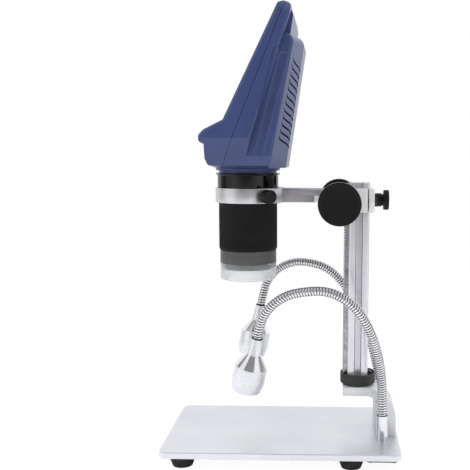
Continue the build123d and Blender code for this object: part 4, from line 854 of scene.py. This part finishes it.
# Outline of a lamp's housing: radius, distance below its top, and corner radius, in millimetres.
LAMP_OUTLINE = [
    (1.2, 2.0, 0), (4.7, 2.0, 0.4), (5.9, 15.6, 0), (6.2, 16.2, 0.3), (12.9, 26.0, 0.3),
    (13.6, 26.9, 0.4), (13.6, 39.8, 0.8), (12.0, 48.0, 0.3), (10.4, 48.0, 0.3), (12.0, 40.0, 0),
    (12.0, 28.5, 0), (4.4, 20.0, 0), (1.2, 18.0, 0),
]
# The cone between these distances below the top is polished, the rest is satin.
CONE_TOP = 16.0 * MM
CONE_FOOT = 26.5 * MM


def mirrored(point, side):
    """A route point in metres, on one side."""
    return Vector((side * point[0], point[1], point[2])) * MM


def smooth_line(points):
    """Points of the smooth line that a route of control points gives."""
    curve = bpy.data.curves.new("route", "CURVE")
    curve.dimensions = "3D"
    spline = curve.splines.new("NURBS")
    spline.points.add(len(points) - 1)
    for knot, point in zip(spline.points, points):
        knot.co = (*point, 1)
    spline.order_u = 3
    spline.use_endpoint_u = True
    spline.resolution_u = 16
    carrier = bpy.data.objects.new("route", curve)
    mesh = bpy.data.meshes.new_from_object(carrier)
    line = [vertex.co.copy() for vertex in mesh.vertices]
    bpy.data.objects.remove(carrier)
    bpy.data.curves.remove(curve)
    bpy.data.meshes.remove(mesh)
    return line


def wound_tube(name, line, radius, pitch, depth, around=28, steps=6):
    """A tube wound from round-backed strip: one turn per pitch, with a sharp line between turns.

    around and steps are the points round the tube and along one turn.  The faces beside the line
    between turns get material index 1.
    """
    lengths = [0.0]
    for a, b in zip(line, line[1:]):
        lengths.append(lengths[-1] + (b - a).length)
    total = lengths[-1]
    frames = []
    tangent = (line[1] - line[0]).normalized()
    normal = tangent.orthogonal().normalized()
    for i, point in enumerate(line):
        ahead = line[min(i + 1, len(line) - 1)] - line[max(i - 1, 0)]
        fresh = ahead.normalized()
        normal = (tangent.rotation_difference(fresh) @ normal).normalized()
        tangent = fresh
        frames.append((point, tangent, normal))

    def frame_at(s):
        """Place, direction and outward way of the line at a distance along it."""
        s = min(max(s, 0.0), total)
        i = 0
        low, high = 0, len(lengths) - 2
        while low <= high:
            i = (low + high) // 2
            if lengths[i + 1] < s:
                low = i + 1
            elif lengths[i] > s:
                high = i - 1
            else:
                break
        span = max(lengths[i + 1] - lengths[i], 1e-9)
        t = (s - lengths[i]) / span
        a, b = frames[i], frames[i + 1]
        forward = a[1].lerp(b[1], t).normalized()
        out = a[2].lerp(b[2], t)
        out = (out - forward * out.dot(forward)).normalized()
        return a[0].lerp(b[0], t), forward, out

    rows = int(total / pitch * steps) + steps + 1
    work = bmesh.new()
    grid = []
    for i in range(rows):
        across = 2 * (i % steps) / steps - 1
        r = radius - depth * (1 - math.sqrt(max(0.0, 1 - across * across)))
        row = []
        for j in range(around):
            s = (i / steps + j / around - 1) * pitch
            point, forward, out = frame_at(s)
            side = forward.cross(out)
            angle = 2 * math.pi * j / around
            row.append(work.verts.new(point + (out * math.cos(angle) + side * math.sin(angle)) * r))
        grid.append(row)
    for i in range(rows - 1):
        for j in range(around):
            if j + 1 < around:
                corner = (grid[i][j], grid[i][j + 1], grid[i + 1][j + 1], grid[i + 1][j])
            elif i + 1 + steps < rows:
                corner = (grid[i][j], grid[i + steps][0], grid[i + 1 + steps][0], grid[i + 1][j])
            else:
                continue
            face = work.faces.new(corner)
            # Painted shade: the faces beside the line between turns take the darker seam finish.
            face.material_index = 1 if i % steps in (0, steps - 1) else 0
    bmesh.ops.remove_doubles(work, verts=work.verts, dist=1e-6)
    bmesh.ops.dissolve_degenerate(work, dist=1e-7, edges=work.edges)
    ends = [edge for edge in work.edges if edge.is_boundary]
    bmesh.ops.holes_fill(work, edges=ends, sides=0)
    return mesh_from(work, name)


def seal_ring(name, centre, axis, reach, thickness, body):
    """A round rubber ring: reach is the radius to the middle of its section."""
    facets = 12
    turns = [2 * math.pi * i / facets for i in range(facets)]
    line = [Vector((reach + thickness * math.cos(a), thickness * math.sin(a))) for a in turns]
    loose_piece(name, turned(name, line, 48, centre, axis), "oring", body, 80)


class MICROSCOPE_OT_lamps(bpy.types.Operator):
    """Make the two wound goosenecks, their seals, and the two lamps"""

    bl_idname = "microscope.lamps"
    bl_label = "Gooseneck lamps"

    def execute(self, context):
        settings = context.scene.microscope_lamps
        for name, arm in HOSE_ROUTES.items():
            side = arm["side"]
            top = mirrored(arm["lamp_top"], side)
            down = (mirrored(arm["lamp_foot"], side) - top).normalized()
            route = [mirrored(point, side) for point in arm["points"]]
            route += [top - down * LAMP_LEAD, top + down * LAMP_ENTRY]
            line = smooth_line(route)
            tube = wound_tube(
                name + "_gooseneck", line, HOSE_RADIUS, settings.pitch, settings.depth,
            )
            lower_node = name + "_lamp_hose_lower"
            upper_node = name + "_lamp_hose_upper"
            # The seam finish on index 1 is painted shade between the turns.
            hose = unattached_piece(
                name + "_gooseneck", tube, "chrome", 70, ("seam",),
            )
            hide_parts(lower_node, upper_node)
            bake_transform(hose)
            shell_node = name + "_lamp_shell"
            seal_ring(
                name + "_lamp_seal", top + down * 1.9 * MM, down, SEAL_RADIUS, 0.75 * MM,
                BODY_OF[shell_node],
            )
            foot = mirrored(arm["points"][0], side)
            seal_ring(
                name + "_ferrule_seal", foot, (0, 0, 1), SEAL_RADIUS, 0.55 * MM,
                BODY_OF["hose_ferrules"],
            )
            outline = rounded(LAMP_OUTLINE, 0, steps=4)
            line = [Vector((r * MM, -h * MM)) for r, h in outline]
            shell = turned(shell_node, line, 96, top, -down)
            for face in shell.polygons:
                below = (face.center - top).dot(down)
                face.material_index = 0 if CONE_TOP < below < CONE_FOOT else 1
            stand_in(name + "_lamp_housing", shell, "polished", shell_node, second=("satin",))
            dress("lamp_lens", name + "_lamp_optic")
        return {"FINISHED"}


# ------------------------------------------------------------------ the stage
class MicroscopeStageSettings(bpy.types.PropertyGroup):
    """Light and backdrop."""

    light_level: bpy.props.FloatProperty(
        name="Light level", description="Strength of the soft boxes", default=1.0, min=0.0, max=5.0,
    )
    ambient: bpy.props.FloatProperty(
        name="Room light", description="Strength of the even light from all round", default=0.62,
        min=0.0, max=2.0,
    )


def look_along(forward, roll):
    """A camera's rotation from the way it looks and its roll in radians."""
    right = forward.cross(Vector((0, 0, 1))).normalized()
    up = right.cross(forward)
    turned_right = right * math.cos(roll) - up * math.sin(roll)
    turned_up = up * math.cos(roll) + right * math.sin(roll)
    return Matrix((turned_right, turned_up, -forward)).transposed()


def soft_box(name, place, target, width, height, power):
    """A large even light that doesn't show in mirrors, where the room stands for it."""
    light = bpy.data.lights.new(name, "AREA")
    light.shape = "RECTANGLE"
    light.size = width
    light.size_y = height
    light.energy = power
    thing = bpy.data.objects.new(name, light)
    thing.location = place
    thing.rotation_euler = (Vector(target) - Vector(place)).to_track_quat("-Z", "Y").to_euler()
    thing.visible_glossy = False
    bpy.context.scene.collection.objects.link(thing)


# Brightness of the studio in mirrors: the walls by degrees from +X, written as a share of half a
# turn, and the ceiling by height from 0 to 1.  Walls turn into ceiling between two heights.
STUDIO_WALLS = [(degrees / 180, level) for degrees, level in (
    (0, 0.30), (37, 0.30), (41, 1.0), (80, 1.0), (86, 0.32), (110, 0.32), (116, 1.0),
)]
STUDIO_CEILING = [(0.0, 0.5), (0.80, 0.45), (0.93, 0.6), (0.97, 1.0)]
CEILING_START, CEILING_FULL = 0.74, 0.80

# The floor to the camera: how much of its own shading is swapped for plain white, and how strong.
FLOOR_WHITE_SHARE = 0.90
FLOOR_WHITE_LEVEL = 1.05
FLOOR_HALF_SIZE = 1.0
FLOOR_DROP = 0.02 * MM

# Name, place, width, height and power of each soft box, in metres and watts.
SOFT_BOXES = (
    ("soft_box_front", (0.55, -1.05, 0.75), 0.5, 1.1, 9.0),
    ("soft_box_rear", (0.80, 0.95, 0.65), 0.4, 1.0, 6.0),
    ("soft_box_top", (0.05, 0.0, 1.5), 1.0, 1.0, 9.0),
)
SOFT_BOX_TARGET = (0, 0, 0.20)

CAMERA_PLACE = (0.6673, 0.0418, 0.2621)
CAMERA_YAW = math.radians(-1.07)
CAMERA_PITCH = math.radians(7.19)
CAMERA_ROLL = math.radians(-0.34)


def stepped(tree, value, steps):
    """A grey level that follows a value from 0 to 1 through the given steps."""
    ramp = add_node(tree, "ShaderNodeValToRGB", {"Fac": value})
    stops = ramp.color_ramp.elements
    while len(stops) < len(steps):
        stops.new(1.0)
    for stop, (place, level) in zip(stops, steps):
        stop.position = place
        stop.color = (level, level, level, 1)
    return ramp.outputs["Color"]


class MICROSCOPE_OT_stage(bpy.types.Operator):
    """Set up the floor, the soft boxes, the white room and the camera"""

    bl_idname = "microscope.stage"
    bl_label = "Stage"

    def execute(self, context):
        scene = context.scene
        settings = scene.microscope_stage

        # White painted floor board: plain, and almost as bright as the room to the camera, so that
        # only a faint shadow is left under the stand.
        paint = bpy.data.materials.new("painted_floor_board")
        paint.use_nodes = True
        tree = paint.node_tree
        shader = tree.nodes["Principled BSDF"]
        shader.inputs["Base Color"].default_value = linear("#F4F4F4")
        shader.inputs["Roughness"].default_value = 0.9
        path = add_node(tree, "ShaderNodeLightPath")
        white = add_node(tree, "ShaderNodeEmission", {
            "Color": (1, 1, 1, 1), "Strength": FLOOR_WHITE_LEVEL,
        })
        share = add_node(
            tree,
            "ShaderNodeMath",
            {0: path.outputs["Is Camera Ray"], 1: FLOOR_WHITE_SHARE},
            operation="MULTIPLY",
        )
        mixed = add_node(
            tree, "ShaderNodeMixShader",
            {0: share.outputs[0], 1: shader.outputs[0], 2: white.outputs[0]},
        )
        tree.links.new(mixed.outputs[0], tree.nodes["Material Output"].inputs["Surface"])
        work = bmesh.new()
        bmesh.ops.create_grid(work, x_segments=8, y_segments=8, size=FLOOR_HALF_SIZE)
        floor_mesh = bpy.data.meshes.new("floor")
        work.to_mesh(floor_mesh)
        work.free()
        floor_mesh.materials.append(paint)
        floor = bpy.data.objects.new("floor", floor_mesh)
        floor.location.z = -FLOOR_DROP
        scene.collection.objects.link(floor)

        # The room: white to the camera and through glass, softer as a light.  In mirrors it is a
        # studio: a dark wall on the +X side, a bright panel left and right of it, a dark gap, and a
        # white backdrop behind, under a grey ceiling.  Polished metal draws its lines from these.
        world = bpy.data.worlds.new("studio")
        scene.world = world
        world.use_nodes = True
        tree = world.node_tree
        tree.nodes.clear()
        path = add_node(tree, "ShaderNodeLightPath")
        seen = add_node(
            tree,
            "ShaderNodeMath",
            {0: path.outputs["Is Camera Ray"], 1: path.outputs["Is Transmission Ray"]},
            operation="MAXIMUM",
        )
        way = add_node(
            tree, "ShaderNodeSeparateXYZ",
            {"Vector": add_node(tree, "ShaderNodeTexCoord").outputs["Generated"]},
        )
        aside = add_node(tree, "ShaderNodeMath", {0: way.outputs["Y"]}, operation="ABSOLUTE")
        turn = add_node(
            tree, "ShaderNodeMath", {0: aside.outputs[0], 1: way.outputs["X"]}, operation="ARCTAN2",
        )
        share = add_node(
            tree, "ShaderNodeMath", {0: turn.outputs[0], 1: math.pi}, operation="DIVIDE",
        )
        walls = stepped(tree, share.outputs[0], STUDIO_WALLS)
        ceiling = stepped(tree, way.outputs["Z"], STUDIO_CEILING)
        overhead = add_node(
            tree,
            "ShaderNodeMapRange",
            {"Value": way.outputs["Z"], "From Min": CEILING_START, "From Max": CEILING_FULL},
        )
        studio = add_node(
            tree,
            "ShaderNodeMix",
            {"Factor": overhead.outputs["Result"], "A": walls, "B": ceiling},
            data_type="RGBA",
        )
        glow = add_node(
            tree, "ShaderNodeBackground", {"Color": studio.outputs["Result"], "Strength": 1.0},
        )
        backdrop = add_node(tree, "ShaderNodeBackground", {"Color": (1, 1, 1, 1), "Strength": 1.0})
        fill = add_node(
            tree, "ShaderNodeBackground",
            {"Color": linear("#F7F8FB"), "Strength": settings.ambient},
        )
        shiny = add_node(
            tree,
            "ShaderNodeMixShader",
            {0: path.outputs["Is Glossy Ray"], 1: fill.outputs[0], 2: glow.outputs[0]},
        )
        room = add_node(
            tree, "ShaderNodeMixShader",
            {0: seen.outputs[0], 1: shiny.outputs[0], 2: backdrop.outputs[0]},
        )
        output = add_node(tree, "ShaderNodeOutputWorld")
        tree.links.new(room.outputs[0], output.inputs["Surface"])

        for name, place, width, height, power in SOFT_BOXES:
            soft_box(name, place, SOFT_BOX_TARGET, width, height, power * settings.light_level)

        camera_data = bpy.data.cameras.new("camera")
        camera_data.sensor_width = 36.0
        camera_data.lens = 59.48
        camera_data.shift_x = -0.1764
        camera_data.shift_y = 0.0274
        camera_data.clip_end = 50.0
        camera_data.dof.use_dof = False
        camera = bpy.data.objects.new("camera", camera_data)
        level_way = Vector((-math.cos(CAMERA_YAW), math.sin(CAMERA_YAW), 0))
        dip = Vector((0, 0, 1)) * math.sin(CAMERA_PITCH)
        rotation = look_along(level_way * math.cos(CAMERA_PITCH) - dip, CAMERA_ROLL)
        camera.matrix_world = Matrix.Translation(CAMERA_PLACE) @ rotation.to_4x4()
        scene.collection.objects.link(camera)
        scene.camera = camera
        scene.view_settings.view_transform = "Standard"
        return {"FINISHED"}


# ------------------------------------------------------------------ add-on
class MICROSCOPE_PT_panel(bpy.types.Panel):
    """Lists the operators and their settings"""

    bl_label = "Microscope"
    bl_idname = "MICROSCOPE_PT_panel"
    bl_space_type = "VIEW_3D"
    bl_region_type = "UI"
    bl_category = "Microscope"

    def draw(self, context):
        layout = self.layout
        for group, fields in SETTINGS_SHOWN:
            for field in fields:
                layout.prop(getattr(context.scene, group), field)
        for operator in OPERATORS:
            layout.operator(operator.bl_idname)


OPERATORS = (
    MICROSCOPE_OT_stage,
    MICROSCOPE_OT_case,
    MICROSCOPE_OT_column,
    MICROSCOPE_OT_stand,
    MICROSCOPE_OT_carriage,
    MICROSCOPE_OT_knobs,
    MICROSCOPE_OT_lamps,
)
GROUPS = {
    "microscope_case": MicroscopeCaseSettings,
    "microscope_column": MicroscopeColumnSettings,
    "microscope_knobs": MicroscopeKnobSettings,
    "microscope_lamps": MicroscopeLampSettings,
    "microscope_stage": MicroscopeStageSettings,
}
SETTINGS_SHOWN = [(name, list(group.__annotations__)) for name, group in GROUPS.items()]
FINISHES = {}


def register():
    for group in GROUPS.values():
        bpy.utils.register_class(group)
    for name, group in GROUPS.items():
        setattr(bpy.types.Scene, name, bpy.props.PointerProperty(type=group))
    for operator in OPERATORS:
        bpy.utils.register_class(operator)
    bpy.utils.register_class(MICROSCOPE_PT_panel)


def unregister():
    bpy.utils.unregister_class(MICROSCOPE_PT_panel)
    for operator in reversed(OPERATORS):
        bpy.utils.unregister_class(operator)
    for name in GROUPS:
        delattr(bpy.types.Scene, name)
    for group in reversed(list(GROUPS.values())):
        bpy.utils.unregister_class(group)


def main():
    register()
    FINISHES.update(make_finishes())
    bpy.ops.microscope.stage()
    bpy.ops.microscope.case()
    bpy.ops.microscope.column()
    bpy.ops.microscope.stand()
    bpy.ops.microscope.carriage()
    bpy.ops.microscope.knobs()
    bpy.ops.microscope.lamps()


if __name__ == "__main__":
    main()
